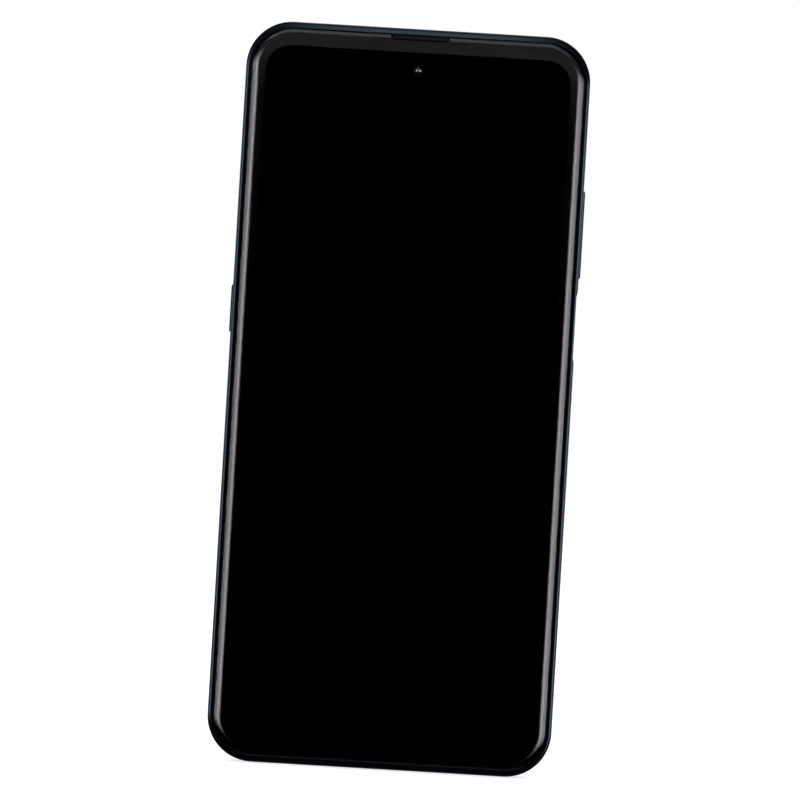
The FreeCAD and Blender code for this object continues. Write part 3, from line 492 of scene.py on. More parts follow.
def borderInkAndPaintedLight(name, look):
    material, tree, shader = startMaterial(name)
    low, high = look["glassBox"]
    centre = (low + high) / 2
    place = objectPlace(tree)
    # painted light: the border is painted lighter towards the top, by height
    fade = paintedLightByHeight(tree, place, high.z, look["fade"])
    # the ring round the front camera is kept out of the painted light
    spot = useGroup(tree, roundPlace, Centre=look["camera"])["Radius"]
    around = maths(tree, "GREATER_THAN", spot, look["cameraRing"])
    corner = look["corner"] * mm
    glassEdge = outlineReach(tree, place, centre, (high.x - low.x) / 2, (high.z - low.z) / 2, corner)
    dark, pale = [corner - inward * mm for inward in look["darkRim"]]
    rim = spread(tree, glassEdge, start=dark, end=pale)
    wide, tall, corner = [size * mm for size in look["screen"]]
    screenEdge = outlineReach(tree, place, centre, wide / 2, tall / 2, corner)
    screen = spread(tree, screenEdge, start=corner, end=corner + look["screenBlur"] * mm)
    # lit is the share of painted light: higher towards the top, none on the camera ring, the glass's outer
    # edge or the screen
    lit = maths(tree, "MULTIPLY", maths(tree, "MULTIPLY", fade, around), maths(tree, "MULTIPLY", rim, screen))
    grain = useGroup(tree, fineGrain, Size=look["grain"])
    feed(shader, {"Base Color": blendColours(tree, lit, look["colour"], look["shade"]),
                  "Roughness": spreadRough(tree, grain["Mask"], look), "Specular IOR Level": 0.0,
                  "Normal": addBump(tree, grain["Height"], look["bump"])})
    return material


def ringFinish(name, look):
    material, tree, shader = startMaterial(name)
    radius = useGroup(tree, roundPlace, Centre=look["centre"])["Radius"]
    bare = maths(tree, "GREATER_THAN", radius, look["deckRadius"])
    rings = put(tree, "ShaderNodeTexNoise", {"W": radius, "Scale": look["rings"], "Detail": 3.0},
                noise_dimensions="1D").outputs[0]
    metalColour = blendColours(tree, rings, look["colour"], look["shade"])
    feed(shader, {"Base Color": blendColours(tree, bare, look["deck"], metalColour),
                  "Roughness": spreadRough(tree, bare, look), "Metallic": bare,
                  "Normal": addBump(tree, rings, look["bump"])})
    return material


def circuit(name, look):
    look = {**circuitLook, **look}
    material, tree, shader = startMaterial(name)
    turned = put(tree, "ShaderNodeMapping", {"Vector": objectPlace(tree), "Rotation": (quarterTurn, 0, 0)})
    values = {"Vector": turned.outputs[0], "Scale": look["traces"], "Mortar Size": look["gap"],
              "Color1": (*look["colour"], 1), "Color2": (*look["shade"], 1), "Mortar": (*look["trace"], 1)}
    traces = put(tree, "ShaderNodeTexBrick", values).outputs
    grain = useGroup(tree, fineGrain, Size=look["grain"])
    feed(shader, {"Base Color": traces["Color"], "Roughness": spreadRough(tree, grain["Mask"], look),
                  "Normal": addBump(tree, traces["Fac"], look["bump"])})
    return material


navy = {"colour": (0.0006, 0.0009, 0.0018), "shade": (0.0009, 0.0013, 0.0025), "rough": (0.05, 0.08),
        "wear": 0.2, "wornColour": (0.006, 0.009, 0.015), "grain": 0.1, "bump": 0.001, "specular": 0.27,
        "sheen": (0.62, 0.86, 1.0)}
frontSheet = {"colour": (0.97, 0.975, 0.98), "rough": (0.0, 0.007)}
rearSheet = {"colour": (0.9, 0.92, 0.95), "rough": (0.0, 0.012)}
noReturn = {"tint": (0, 0, 0)}  # for a glued back, which mirrors nothing
finishLooks = {
    moulded: {
        "foam": {"colour": (0.012, 0.012, 0.013), "shade": (0.02, 0.02, 0.02), "rough": (0.8, 0.95)},
        "displayCell": {"colour": (0.0, 0.0, 0.0), "shade": (0.0002, 0.0002, 0.0003), "rough": (0.3, 0.4),
                        "specular": 0.0, "bump": 0.0005},
        "lightGuide": {"colour": (0.8, 0.8, 0.78), "shade": (0.72, 0.72, 0.7), "rough": (0.4, 0.5)},
        "lensBlack": {"colour": (0.0015, 0.0015, 0.0018), "shade": (0.003, 0.003, 0.0034),
                      "rough": (0.4, 0.55), "grain": 0.05, "specular": 0.06},
        # near-black carrier: partly its own black plastic, partly painted shade for the notch's upper part
        # above the mesh
        "earBlackAndPaintedShade": {"colour": (0.0008, 0.0006, 0.0007), "shade": (0.0016, 0.0013, 0.0014),
                     "rough": (0.5, 0.6), "grain": 0.06, "specular": 0.02},
        "earMesh": {"colour": (0.02, 0.0165, 0.0175), "shade": (0.028, 0.023, 0.0245),
                    "rough": (0.5, 0.6), "grain": 0.05, "specular": 0.1},
        "sensorBlack": {"colour": (0.01, 0.01, 0.012), "shade": (0.016, 0.014, 0.018), "rough": (0.2, 0.3)},
        "frameNavy": navy,
        "coverNavy": {**navy, "colour": (0.0032, 0.0065, 0.015), "shade": (0.0045, 0.009, 0.021),
                      "rough": (0.16, 0.24)},
        "keyNavy": {**navy, "colour": (0.0028, 0.0078, 0.01), "shade": (0.004, 0.0105, 0.0135),
                    "wornColour": (0.008, 0.02, 0.025), "rough": (0.3, 0.38), "specular": 0.06},
        "trayNavy": {**navy, "colour": (0.006, 0.011, 0.02)},
        "sensorCoat": {"colour": (0.006, 0.009, 0.014), "shade": (0.009, 0.012, 0.018), "rough": (0.16, 0.24),
                       "coat": 0.5},
        "silicone": {"colour": (0.05, 0.05, 0.052), "shade": (0.07, 0.07, 0.07), "rough": (0.6, 0.7)},
        "phosphor": {"colour": (0.85, 0.75, 0.18), "shade": (0.8, 0.68, 0.12), "rough": (0.5, 0.6)},
        "blackPlastic": {"colour": (0.014, 0.014, 0.015), "shade": (0.022, 0.022, 0.023),
                         "rough": (0.45, 0.6)},
        "ferrite": {"colour": (0.06, 0.06, 0.062), "shade": (0.09, 0.09, 0.09), "rough": (0.5, 0.65)},
        "pouch": {"colour": (0.025, 0.025, 0.028), "shade": (0.04, 0.04, 0.043), "rough": (0.35, 0.5)},
        "tape": {"colour": (0.7, 0.7, 0.68), "shade": (0.62, 0.62, 0.6), "rough": (0.5, 0.6)},
        "jacket": {"colour": (0.02, 0.02, 0.02), "shade": (0.035, 0.035, 0.035), "rough": (0.4, 0.5)},
        "graphite": {"colour": (0.03, 0.03, 0.032), "shade": (0.06, 0.06, 0.062), "rough": (0.3, 0.5)},
    },
    metal: {
        "darkMesh": {"colour": (0.055, 0.045, 0.045), "shade": (0.03, 0.026, 0.026), "rough": (0.4, 0.55)},
        "steel": {"colour": (0.6, 0.6, 0.61), "shade": (0.45, 0.45, 0.46), "rough": (0.25, 0.4)},
        "castPlate": {"colour": (0.6, 0.61, 0.63), "shade": (0.48, 0.49, 0.5), "rough": (0.4, 0.55),
                      "stretch": (1, 1, 1), "grain": 0.5},
        "trimMetal": {"colour": (0.09, 0.1, 0.13), "shade": (0.06, 0.07, 0.09), "rough": (0.22, 0.32),
                      "stretch": (1, 1, 1), "grain": 0.06},
        "castHousing": {"colour": (0.2, 0.2, 0.21), "shade": (0.12, 0.12, 0.13), "rough": (0.35, 0.5)},
        "gold": {"colour": (0.9, 0.66, 0.3), "shade": (0.75, 0.52, 0.22), "rough": (0.2, 0.3)},
        "darkSteel": {"colour": (0.3, 0.3, 0.31), "shade": (0.2, 0.2, 0.21), "rough": (0.3, 0.45)},
    },
    clearGlass: {
        "coverGlass": frontSheet,
        "bondedGlass": {**frontSheet, **noReturn},
        "windowGlass": {**rearSheet, "tint": (0.6, 0.68, 0.8)},
        "bondedWindow": {**rearSheet, **noReturn},
        "frontOptic": {"colour": (0.6, 0.8, 1.0), "rough": (0.0, 0.02), "ior": 2.2,
                       "tint": (0.78, 0.92, 1.0)},
        "lensGlass": {"colour": (0.7, 0.82, 1.0), "rough": (0.0, 0.02), "ior": 1.7,
                      "tint": (0.7, 0.85, 1.0)},
        "flashLens": {"colour": (1.0, 0.98, 0.9), "rough": (0.12, 0.25)},
    },
    circuit: {
        "amberFlex": {"colour": (0.32, 0.13, 0.03), "shade": (0.27, 0.1, 0.02), "trace": (0.5, 0.25, 0.08)},
        "board": {"colour": (0.008, 0.045, 0.03), "shade": (0.01, 0.06, 0.04), "trace": (0.02, 0.11, 0.07)},
    },
    ringFinish: {
        "ring": {"centre": middle("camera_window"), "deckRadius": 16.1, "deck": (0.004, 0.004, 0.005),
                 "colour": (0.045, 0.06, 0.09), "shade": (0.02, 0.03, 0.05), "rough": (0.55, 0.26),
                 "rings": 14.0, "bump": 0.003},
    },
    borderInkAndPaintedLight: {
        # colour is the black ink; shade is the painted light the border takes towards the top, and fade gives
        # its share at heights in millimetres
        "borderInkAndPaintedLight": {"colour": (0.0003, 0.0002, 0.0004), "shade": (0.0212, 0.0204, 0.0222),
                      "rough": (0.5, 0.62), "grain": 0.1, "bump": 0.001,
                      "glassBox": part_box("front_glass"), "corner": 9.2, "darkRim": (0.4, 0.55),
                      "camera": middle("front_camera_lens"), "cameraRing": 3.0,
                      "screen": (70.5, 160.2, 5.6), "screenBlur": 0.15,  # width, height, corner
                      "fade": [(0, 0.02), (100, 0.02), (126, 0.09), (146, 0.155),
                               (155, 0.29), (160.5, 0.5), (163, 0.86), (166, 1.0)]},
    },
}
finishes = {name: maker(name, look) for maker, looks in finishLooks.items() for name, look in looks.items()}
finishNodes = {
    "borderInkAndPaintedLight": ["border_print"],
    "foam": ["display_gasket", "rear_cover_adhesive"],
    "displayCell": ["lcd_panel"],
    "lightGuide": ["backlight_unit"],
    "amberFlex": ["display_flex", "right_key_flex", "left_key_flex", "battery_flex", "main_flex"],
    "steel": ["earpiece_receiver", "cover_screws", "volume_key_domes", "power_key_dome", "assistant_key_dome",
              "sim_reader", "shield_cans", "usb_c_shell", "vibration_motor_can"],
    "lensBlack": ["front_camera_module", "wide_camera_module", "macro_camera_module", "depth_camera_module",
                  "main_camera_lens"],
    "sensorBlack": ["proximity_sensor"],
    "frameNavy": ["side_frame"],
    "castPlate": ["mid_plate"],
    "keyNavy": ["volume_rocker", "power_key", "assistant_key"],
    "sensorCoat": ["fingerprint_sensor"],
    "trayNavy": ["sim_tray"],
    "silicone": ["sim_tray_gasket"],
    "coverNavy": ["rear_cover"],
    "ring": ["camera_ring"],
    "castHousing": ["main_camera_module"],
    "phosphor": ["flash_led"],
    "board": ["main_board", "sub_board"],
    "blackPlastic": ["board_connectors", "upper_cover", "usb_c_tongue", "headphone_jack", "speaker_box"],
    "gold": ["top_microphone", "bottom_microphone"],
    "ferrite": ["nfc_antenna"],
    "pouch": ["battery"],
    "tape": ["battery_tape"],
    "jacket": ["rf_coax_cable"],
    "graphite": ["graphite_sheet"],
    "darkSteel": ["loudspeaker_driver", "vibration_rotor"],
    "darkMesh": ["speaker_mesh", "earpiece_mesh"],
    "coverGlass": ["front_glass"],
    "lensGlass": ["front_camera_lens"],
    "windowGlass": ["camera_window"],
    "flashLens": ["flash_lens"],
}
for finish, nodeNames in finishNodes.items():
    for nodeName in nodeNames:
        cadNodes[nodeName].data.materials.clear()
        cadNodes[nodeName].data.materials.append(finishes[finish])
print("finishes on", sum(map(len, finishNodes.values())), "nodes")


# cover glass: rounded plate whose front falls away all round, with the earpiece notch cut through

glassLook = {"corner": 9.2, "segments": 26, "curveWidth": 1.84, "curveDrop": 0.5, "curveRings": 14,
             "rim": 0.16, "rimRings": (0.02, 0.1, 0.25, 0.5, 1), "flat": 0.4, "behind": 0.02, "smooth": 25}
notchLook = {"foot": 12.8, "top": 14.0, "slope": 0.9, "deep": 2.7, "over": 3, "through": 1}


def glassCurve(look):  # steps from the rim up to the flat front
    width, drop, rim = look["curveWidth"], look["curveDrop"], look["rim"]
    arc = (width ** 2 + drop ** 2) / (2 * drop)
    places = [rim * share for share in look["rimRings"]]
    places += [width * index / look["curveRings"] for index in range(2, look["curveRings"] + 1)]
    was = (0, 0)
    steps = []
    for inward in places:
        rise = math.sqrt(arc ** 2 - (width - inward) ** 2) - (arc - drop)
        rise += math.sqrt(rim ** 2 - max(rim - inward, 0) ** 2)
        steps.append((inward - was[0], rise - was[1]))
        was = (inward, rise)
    return steps + [(look["flat"], 0)]


glassLow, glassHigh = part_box("front_glass")
rimDrop = (glassLook["curveDrop"] + glassLook["rim"]) * mm
coverGlass = addBox("coverGlass", (glassLow.x, glassLow.y + rimDrop, glassLow.z),
                    (glassHigh.x, glassHigh.y - glassLook["behind"] * mm, glassHigh.z))
roundCorners(coverGlass, glassLook["corner"], glassLook["segments"])
pickFacing(coverGlass, 0, -1, 0)
stepUp(glassCurve(glassLook), -1)
endEdit(coverGlass, glassLook["smooth"])
through = notchLook["through"] * mm
notchCutter = flaredBlock("notchCutter", notchLook, glassLow.y - through, glassHigh.y + through,
                          cadHigh.z - notchLook["deep"] * mm, notchLook["over"] * mm)
endEdit(notchCutter)
cutAway(coverGlass, notchCutter, glassLook["smooth"])
dress(coverGlass, finishes["coverGlass"], "housing", "cover_glass", "front_glass")
bondBack(coverGlass, finishes["bondedGlass"], 1)
print("cover glass modelled")


# earpiece: carrier with a shallow tray, and a woven mesh laid in it

earLook = {"foot": 12.64, "top": 13.84, "slope": 0.9, "sunk": 0.05, "rim": 0.14, "tray": 0.12,
           "trayWall": 0.03, "cell": 0.2, "wire": 0.055, "meshSunk": 0.1, "meshAbove": 0.24, "meshTall": 0.6,
           "meshGap": 0.1}
earLow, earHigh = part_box("earpiece_mesh")
earCarrier = flaredBlock("earpieceCarrier", earLook, earLow.y + earLook["sunk"] * mm, earHigh.y,
                         earLow.z, earHigh.z - earLow.z - earLook["slope"] * mm)
pickFacing(earCarrier, 0, -1, 0)
bpy.ops.mesh.dissolve_faces()
bpy.ops.mesh.inset(thickness=earLook["rim"] * mm, depth=0)
bpy.ops.mesh.inset(thickness=earLook["trayWall"] * mm, depth=-earLook["tray"] * mm)
endEdit(earCarrier)
dress(earCarrier, finishes["earBlackAndPaintedShade"], "housing", "mesh_steel")
meshWide = (earLook["foot"] - 2 * earLook["rim"] - earLook["meshGap"]) * mm
meshMiddle = earLow.z + (earLook["meshAbove"] + earLook["meshTall"] / 2) * mm
earWeave = weave("earpieceWeave", (0, earLow.y + earLook["meshSunk"] * mm, meshMiddle), meshWide,
                 earLook["meshTall"] * mm, earLook, quarterTurn)
dress(earWeave, finishes["earMesh"], "housing", "mesh_steel", "earpiece_mesh")
print("earpiece modelled")


# front camera: small domed element in a black hood with a stepped mouth

frontLook = {"hoodRadius": 1.18, "hoodTall": 0.3, "bevel": 0.03, "lip": 0.05, "wall": 0.12, "baffles": 3,
             "baffleSlope": 0.01, "baffleDrop": 0.06, "lensRadius": 0.76, "lensEdge": 0.05, "lensRise": 0.2,
             "lensSunk": 0.02}
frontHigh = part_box("front_camera_lens")[1]
frontCentre = middle("front_camera_lens")
frontBaffle = (frontLook["hoodRadius"] - frontLook["lensRadius"] - frontLook["wall"]) / frontLook["baffles"]
frontHood = turnedPiece("frontHood", (frontCentre.x, frontHigh.y, frontCentre.z), frontLook["hoodRadius"],
                        [(0, frontLook["hoodTall"] - frontLook["bevel"]),
                         (frontLook["bevel"], frontLook["bevel"]), (frontLook["lip"], 0)]
                        + baffleSteps(frontBaffle - frontLook["baffleSlope"], frontLook), facing=-1)
dress(frontHood, finishes["lensBlack"], "housing", "lens_barrel", "front_camera_lens")
hoodFloor = frontLook["hoodTall"] - frontLook["baffleDrop"] * frontLook["baffles"]
lensFoot = frontHigh.y - (hoodFloor - frontLook["lensSunk"]) * mm
frontDome = domeSteps(frontLook["lensRadius"], frontLook["lensRise"])
frontLens = turnedPiece("frontLens", (frontCentre.x, lensFoot, frontCentre.z), frontLook["lensRadius"],
                        [(0, frontLook["lensEdge"])] + frontDome, facing=-1)
dress(frontLens, finishes["frontOptic"], "housing", "lens_glass")
print("front camera modelled")


# rear cameras: window, trims, barrels with baffles, and domed front elements

windowLook = {"radius": 16.2, "chamfer": 0.12, "flat": 0.3, "behind": 0.02, "sides": 144}
windowLow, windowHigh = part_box("camera_window")
windowCentre = middle("camera_window")
chamfer = windowLook["chamfer"]
windowTall = (windowHigh.y - windowLow.y) / mm - windowLook["behind"] - chamfer
windowFoot = windowLow.y + windowLook["behind"] * mm
cameraWindow = turnedPiece("cameraWindow", (windowCentre.x, windowFoot, windowCentre.z), windowLook["radius"],
                           [(0, windowTall), (chamfer, chamfer), (windowLook["flat"], 0)],
                           sides=windowLook["sides"])
dress(cameraWindow, finishes["windowGlass"], "housing", "window_glass", "camera_window")
bondBack(cameraWindow, finishes["bondedWindow"], -1)

mainLook = {"radius": 3.2, "body": 4.05, "shoulder": (0.3, 0.2), "neck": 0.46, "bevel": 0.04, "lip": 0.36,
            "baffles": 5, "baffleFlat": 0.16, "baffleSlope": 0.02, "baffleDrop": 0.11, "sides": 96,
            "throat": [(0.05, -0.3), (0.6, -0.05)], "glassRadius": 1.58, "glassEdge": 0.05, "glassRise": 0.42,
            "glassRings": 9, "glassBelow": 0.8}
mainLow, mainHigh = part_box("main_camera_lens")
mainCentre = middle("main_camera_lens")
mainBarrel = turnedPiece("mainBarrel", (mainCentre.x, mainLow.y, mainCentre.z), mainLook["radius"],
                         [(0, mainLook["body"]), mainLook["shoulder"], (0, mainLook["neck"]),
                          (mainLook["bevel"], mainLook["bevel"]), (mainLook["lip"], 0)]
                         + baffleSteps(mainLook["baffleFlat"], mainLook) + mainLook["throat"],
                         sides=mainLook["sides"])
dress(mainBarrel, finishes["lensBlack"], "camera_lens", "lens_barrel", "main_camera_lens")
mainDome = domeSteps(mainLook["glassRadius"], mainLook["glassRise"], mainLook["glassRings"])
mainGlass = turnedPiece("mainGlass", (mainCentre.x, mainHigh.y - mainLook["glassBelow"] * mm, mainCentre.z),
                        mainLook["glassRadius"], [(0, mainLook["glassEdge"])] + mainDome)
dress(mainGlass, finishes["lensGlass"], "camera_lens", "lens_glass")

trimLook = {"below": 0.4, "tall": 0.33, "edge": 0.05, "gap": 0.04, "clear": 0.08, "slope": 0.07,
            "mainRadius": 3.96, "mainHole": 3.34, "mainSlope": 0.1}
hoodLook = {"foot": 0.33, "mouth": 0.68, "rim": 0.97, "pupil": 0.36, "below": 0.78, "cone": 0.5, "neck": 0.05,
            "flare": 0.02, "wallTall": 0.12, "bevel": (0.06, 0.04), "lip": 0.32, "wall": 0.38, "baffles": 5,
            "baffleSlope": 0.02, "baffleDrop": 0.1, "sides": 80, "glassAbove": 0.2, "glassGap": 0.03,
            "glassEdge": 0.04, "glassRise": 0.24, "glassRings": 6, "glassSides": 48}
fixedCameras = {"wide": ("wide_camera_module", 2.7, 3.2), "macro": ("macro_camera_module", 2.0, 2.5),
                "depth": ("depth_camera_module", 2.0, 2.5)}  # node, and the radii of its barrel and its hole


def trimRing(name, spot, radius, hole, slope):
    trim = ringPiece(name, (spot.x, windowLow.y - trimLook["below"] * mm, spot.z), radius, hole,
                     [(0, trimLook["tall"]), (slope, trimLook["edge"])])
    dress(trim, finishes["trimMetal"], "housing", "ring_metal")


for name, (nodeName, barrel, hole) in fixedCameras.items():
    spot = middle(nodeName)
    footY = windowLow.y - hoodLook["below"] * mm
    hood = startDisc(name + "Hood", (spot.x, footY, spot.z), hoodLook["foot"] * barrel, 1, hoodLook["sides"])
    widen(hoodLook["mouth"] / hoodLook["foot"], hoodLook["cone"])
    stepUp([(0, hoodLook["neck"])])
    widen(hoodLook["rim"] / hoodLook["mouth"], hoodLook["flare"])
    baffle = ((hoodLook["rim"] - hoodLook["pupil"]) * barrel - hoodLook["wall"]) / hoodLook["baffles"]
    stepUp([(0, hoodLook["wallTall"]), hoodLook["bevel"], (hoodLook["lip"], 0)]
           + baffleSteps(baffle - hoodLook["baffleSlope"], hoodLook))
    endEdit(hood)
    dress(hood, finishes["lensBlack"], "housing", "lens_barrel")
    pupil = hoodLook["pupil"] * barrel - hoodLook["glassGap"]
    dome = domeSteps(pupil, hoodLook["glassRise"], hoodLook["glassRings"])
    eye = turnedPiece(name + "Glass", (spot.x, footY + hoodLook["glassAbove"] * mm, spot.z), pupil,
                      [(0, hoodLook["glassEdge"])] + dome, sides=hoodLook["glassSides"])
    dress(eye, finishes["lensGlass"], "housing", "lens_glass")
    trimRing(name + "Trim", spot, hole - trimLook["gap"], barrel + trimLook["clear"], trimLook["slope"])
trimRing("mainTrim", mainCentre, trimLook["mainRadius"], trimLook["mainHole"], trimLook["mainSlope"])
print("rear cameras modelled")


# flash: frosted lens with saw-tooth rings towards the chip

flashLook = {"radius": 1.63, "thick": 0.4, "rim": 0.1, "middle": 0.3, "rings": 7, "tooth": 0.07,
             "toothSlope": 0.02, "behind": 0.02}
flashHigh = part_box("flash_lens")[1]
flashCentre = middle("flash_lens")
flashPitch = (flashLook["radius"] - flashLook["middle"]) / flashLook["rings"]
flashTooth = [(flashPitch - flashLook["toothSlope"], -flashLook["tooth"]),
              (flashLook["toothSlope"], flashLook["tooth"])]
flashFoot = flashHigh.y - flashLook["behind"] * mm
flashPiece = turnedPiece("flashWindow", (flashCentre.x, flashFoot, flashCentre.z), flashLook["radius"],
                         [(0, flashLook["thick"]), (flashLook["rim"], 0)] + flashTooth * flashLook["rings"],
                         facing=-1)
dress(flashPiece, finishes["flashLens"], "housing", "flash_plastic", "flash_lens")
print("flash modelled")


# sockets and speaker: gold contacts on the tongue, and a woven mesh behind the round holes

contactLook = {"count": 12, "pitch": 0.5, "wide": 0.27, "start": 0.3, "long": 2.9, "proud": 0.02,
               "face": 0.35, "round": 0.08, "segments": 3}
gridLook = {"cell": 0.2, "wire": 0.06}
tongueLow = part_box("usb_c_tongue")[0]
half, proud = contactLook["wide"] / 2 * mm, contactLook["proud"] * mm
contacts = []
for side in (-1, 1):
    face = middle("usb_c_tongue").y + side * contactLook["face"] * mm
    start = tongueLow.z + contactLook["start"] * mm
    end = start + contactLook["long"] * mm
    pad = addBox("contactPad", (-half, face - proud, start), (half, face + proud, end))
    roundCorners(pad, contactLook["round"], contactLook["segments"])
    endEdit(pad)
    for index in range(contactLook["count"]):
        place = (index - (contactLook["count"] - 1) / 2) * contactLook["pitch"] * mm
        contacts.append(copyPiece(pad, "contact", (place, 0, 0)))
    bpy.data.objects.remove(pad)
tongueContacts = joinPieces("tongueContacts", contacts)
dress(tongueContacts, finishes["gold"], "housing", "socket_steel")

gridLow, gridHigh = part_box("speaker_mesh")
speakerWeave = weave("speakerWeave", middle("speaker_mesh"), gridHigh.x - gridLow.x, gridHigh.y - gridLow.y,
                     gridLook)
dress(speakerWeave, finishes["darkMesh"], "housing", "mesh_steel", "speaker_mesh")
print("sockets and speaker modelled")


# snap domes under the keys: thin pressed caps

domeLook = {"foot": 0.04, "shoulder": 0.1, "rings": 8, "dimple": 0.16, "dimpleSlope": 0.04,
            "dimpleDrop": 0.03, "sides": 48}
domes = {"power_key_dome": ("power_key_press", 1, 0.22, 1),
         "assistant_key_dome": ("assistant_key_press", -1, 0.22, 1),
         "volume_key_domes": ("volume_rocker_tilt", 1, 0.45, 2)}  # joint, side, share of height kept, count


def snapDome(low, high, side):
    radius, height = (high.z - low.z) / 2 / mm, (high.x - low.x) / mm
    cap = radius - domeLook["shoulder"]
    crown = domeSteps(cap, height - domeLook["foot"], domeLook["rings"], domeLook["dimple"] / cap)
    piece = turnedPiece("snapDome", (0, 0, 0), radius,
                        [(0, domeLook["foot"]), (domeLook["shoulder"], 0)] + crown
                        + [(domeLook["dimpleSlope"], -domeLook["dimpleDrop"])], sides=domeLook["sides"])
    base = Vector((low.x if side > 0 else high.x, (low.y + high.y) / 2, (low.z + high.z) / 2))
    piece.data.transform(Matrix.Translation(base) @ Matrix.Rotation(-side * quarterTurn, 4, "Z"))
    return piece


for nodeName, (joint, side, keep, count) in domes.items():
    low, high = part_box(nodeName)
    across = high.y - low.y
    feet = [low.z, high.z - across][:count]
    caps = [snapDome(Vector((low.x, low.y, foot)), Vector((high.x, high.y, foot + across)), side)
            for foot in feet]
    caps = joinPieces("snapDome_" + nodeName, caps)
    dress(caps, finishes["steel"], "housing", "dome_steel", nodeName)
    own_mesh(caps)
print("snap domes modelled")


# stage: pale floor and white surroundings for the eye; gloss on the screen side mirrors a dark studio

floorLook = {"size": 8, "below": 0.2, "colour": (0.8, 0.8, 0.8), "rough": 0.9, "glow": 0.6}
pickOnly()
bpy.ops.mesh.primitive_plane_add(size=floorLook["size"], location=(0, 0, -floorLook["below"] * mm))
floor = bpy.context.object
floor.name = "floor"
floorMaterial, tree, shader = startMaterial("paleFloor")
rays = put(tree, "ShaderNodeLightPath").outputs
feed(shader, {"Base Color": (*floorLook["colour"], 1), "Roughness": floorLook["rough"],
              "Specular IOR Level": 0.0, "Emission Color": (1, 1, 1, 1),
              "Emission Strength": maths(tree, "MULTIPLY", rays["Is Camera Ray"], floorLook["glow"])})
floor.data.materials.append(floorMaterial)
floor.visible_glossy = False
floor.visible_transmission = False

studioLook = {"behind": (0.35, 0.8), "rise": (-0.45, 0.5), "lowest": 0.3, "flags": (0.03, 0.2),
              "flagged": 0.1, "table": (-0.7, -0.9), "tableGlow": 0.2, "diffuse": 0.6}
world = bpy.data.worlds.new("studio")
bpy.context.scene.world = world
world.use_nodes = True
tree = world.node_tree
rays = put(tree, "ShaderNodeLightPath").outputs
place = put(tree, "ShaderNodeTexCoord").outputs["Generated"]
split = put(tree, "ShaderNodeSeparateXYZ", {0: place}).outputs
behind = spread(tree, split["Y"], *studioLook["behind"])
rise = spread(tree, split["Z"], *studioLook["rise"], low=studioLook["lowest"])
slant = maths(tree, "ABSOLUTE", maths(tree, "MULTIPLY", split["X"], split["Z"]))
flags = spread(tree, slant, *studioLook["flags"], low=1.0, high=studioLook["flagged"])  # darker diagonals
table = spread(tree, split["Z"], *studioLook["table"], high=studioLook["tableGlow"])  # faint, far below
backLight = maths(tree, "MULTIPLY", maths(tree, "MULTIPLY", behind, rise), flags)
shiny = maths(tree, "ADD", rays["Is Glossy Ray"], rays["Is Transmission Ray"])
mirrored = maths(tree, "MULTIPLY", shiny, maths(tree, "MAXIMUM", backLight, table))
soft = maths(tree, "MULTIPLY", rays["Is Diffuse Ray"], studioLook["diffuse"])
strength = maths(tree, "ADD", maths(tree, "ADD", rays["Is Camera Ray"], mirrored), soft)
feed(tree.nodes["Background"], {"Color": (1, 1, 1, 1), "Strength": strength})


# turn is degrees to the right of straight ahead, lift degrees up, level the brightness of the face's middle,
# fade the share of the width and height over which the edges go dark, and only the one node that is lit
lampLook = {"fade": (0.1, 0.1), "colour": (1, 1, 1), "only": None}
wattsPerLevel = 4  # for a face of one square metre


def addLamp(name, look):
    look = {**lampLook, **look}
    lampData = bpy.data.lights.new(name, "AREA")
    lampData.shape = "RECTANGLE"
    lampData.size, lampData.size_y = look["size"]
    lampData.energy = look["level"] * wattsPerLevel * look["size"][0] * look["size"][1]
    lampData.color = look["colour"]
    lampData.use_nodes = True
    tree = lampData.node_tree
    place = put(tree, "ShaderNodeNewGeometry").outputs["Parametric"]
    split = put(tree, "ShaderNodeSeparateXYZ", {0: place}).outputs
    edges = []
    for index, fade in enumerate(look["fade"]):
        away = maths(tree, "ABSOLUTE", maths(tree, "SUBTRACT", split[index], 0.5))  # 0.5 at the face's edge
        edges.append(spread(tree, away, start=0.5, end=0.5 - fade, kind="SMOOTHSTEP"))
    feed(tree.nodes["Emission"], {"Strength": maths(tree, "MULTIPLY", *edges)})
    lamp = bpy.data.objects.new(name, lampData)
    bpy.context.scene.collection.objects.link(lamp)
    turn, lift = math.radians(look["turn"]), math.radians(look["lift"])
    away = Vector((math.sin(turn) * math.cos(lift), -math.cos(turn) * math.cos(lift), math.sin(lift)))
    lamp.location = Vector((0, 0, lightingHeight)) + away * look["distance"]
    lamp.rotation_euler = away.to_track_quat("Z", "Y").to_euler()
    lamp.visible_camera = False
    if look["only"]:
        lit = bpy.data.collections.new(name + "Lit")
        lit.objects.link(cadNodes[look["only"]])
        lamp.light_linking.receiver_collection = lit


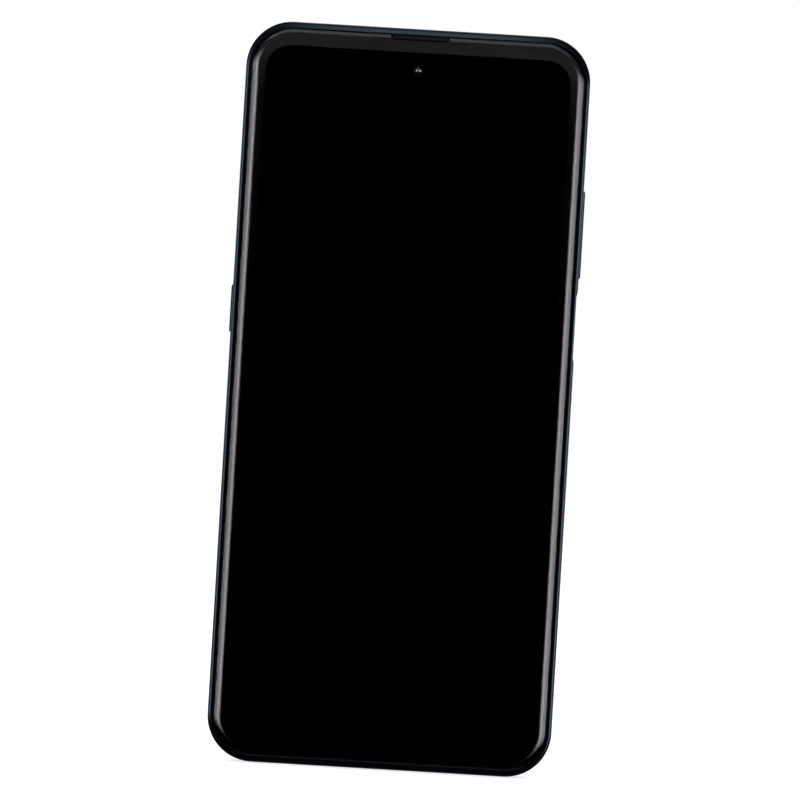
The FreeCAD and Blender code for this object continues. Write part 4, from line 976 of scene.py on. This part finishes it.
lamps = {
    "wideLeft": {"turn": -39, "lift": 0, "distance": 1.3, "size": (1.0, 0.96), "level": 2.6,
                 "fade": (0.12, 0.33), "colour": (1, 0.94, 0.97)},
    "wideRight": {"turn": 41, "lift": -2, "distance": 1.3, "size": (1.16, 0.98), "level": 3.4,
                  "fade": (0.12, 0.33), "colour": (1, 0.93, 0.98)},
    "nearLeft": {"turn": -26, "lift": 0, "distance": 1.25, "size": (0.84, 0.94), "level": 3.1,
                 "fade": (0.42, 0.33), "colour": (1, 0.96, 0.98)},
    "nearRight": {"turn": 26, "lift": -2, "distance": 1.25, "size": (0.84, 0.96), "level": 2.5,
                  "fade": (0.42, 0.33), "colour": (1, 0.95, 0.98)},
    "upperLeft": {"turn": -23, "lift": 34, "distance": 1.25, "size": (0.4, 0.36), "level": 1.2,
                  "fade": (0.25, 0.25)},
    "upperRight": {"turn": 19, "lift": 31, "distance": 1.25, "size": (0.36, 0.32), "level": 0.65,
                   "fade": (0.25, 0.25)},
    "sideLeft": {"turn": -96, "lift": 0, "distance": 1.2, "size": (0.9, 0.8), "level": 2.4,
                 "fade": (0.25, 0.4), "colour": (0.62, 0.86, 1)},
    "sideRight": {"turn": 96, "lift": 0, "distance": 1.2, "size": (0.9, 0.8), "level": 2.7,
                  "fade": (0.25, 0.4), "colour": (0.62, 0.86, 1)},
    "topPanel": {"turn": 0, "lift": 43, "distance": 1.2, "size": (0.7, 0.6), "level": 0.75,
                 "fade": (0.15, 0.25), "colour": (0.97, 0.97, 1)},
    "topStrip": {"turn": 0, "lift": 86, "distance": 1.2, "size": (0.5, 0.6), "level": 2.6,
                 "colour": (0.7, 0.86, 1), "only": "side_frame"},
    "backLeft": {"turn": -148, "lift": 24, "distance": 1.2, "size": (0.5, 0.7), "level": 1.7,
                 "fade": (0.2, 0.2)},
    "backRight": {"turn": 138, "lift": 12, "distance": 1.2, "size": (0.22, 0.8), "level": 2.0,
                  "fade": (0.2, 0.2)},
    "topEdge": {"turn": 0, "lift": 15, "distance": 1.25, "size": (0.14, 0.45), "level": 2.1,
                "fade": (0.15, 0.12), "colour": (0.95, 0.95, 1), "only": "side_frame"},
}
for name, look in lamps.items():
    addLamp(name, look)
print("stage and lamps set")
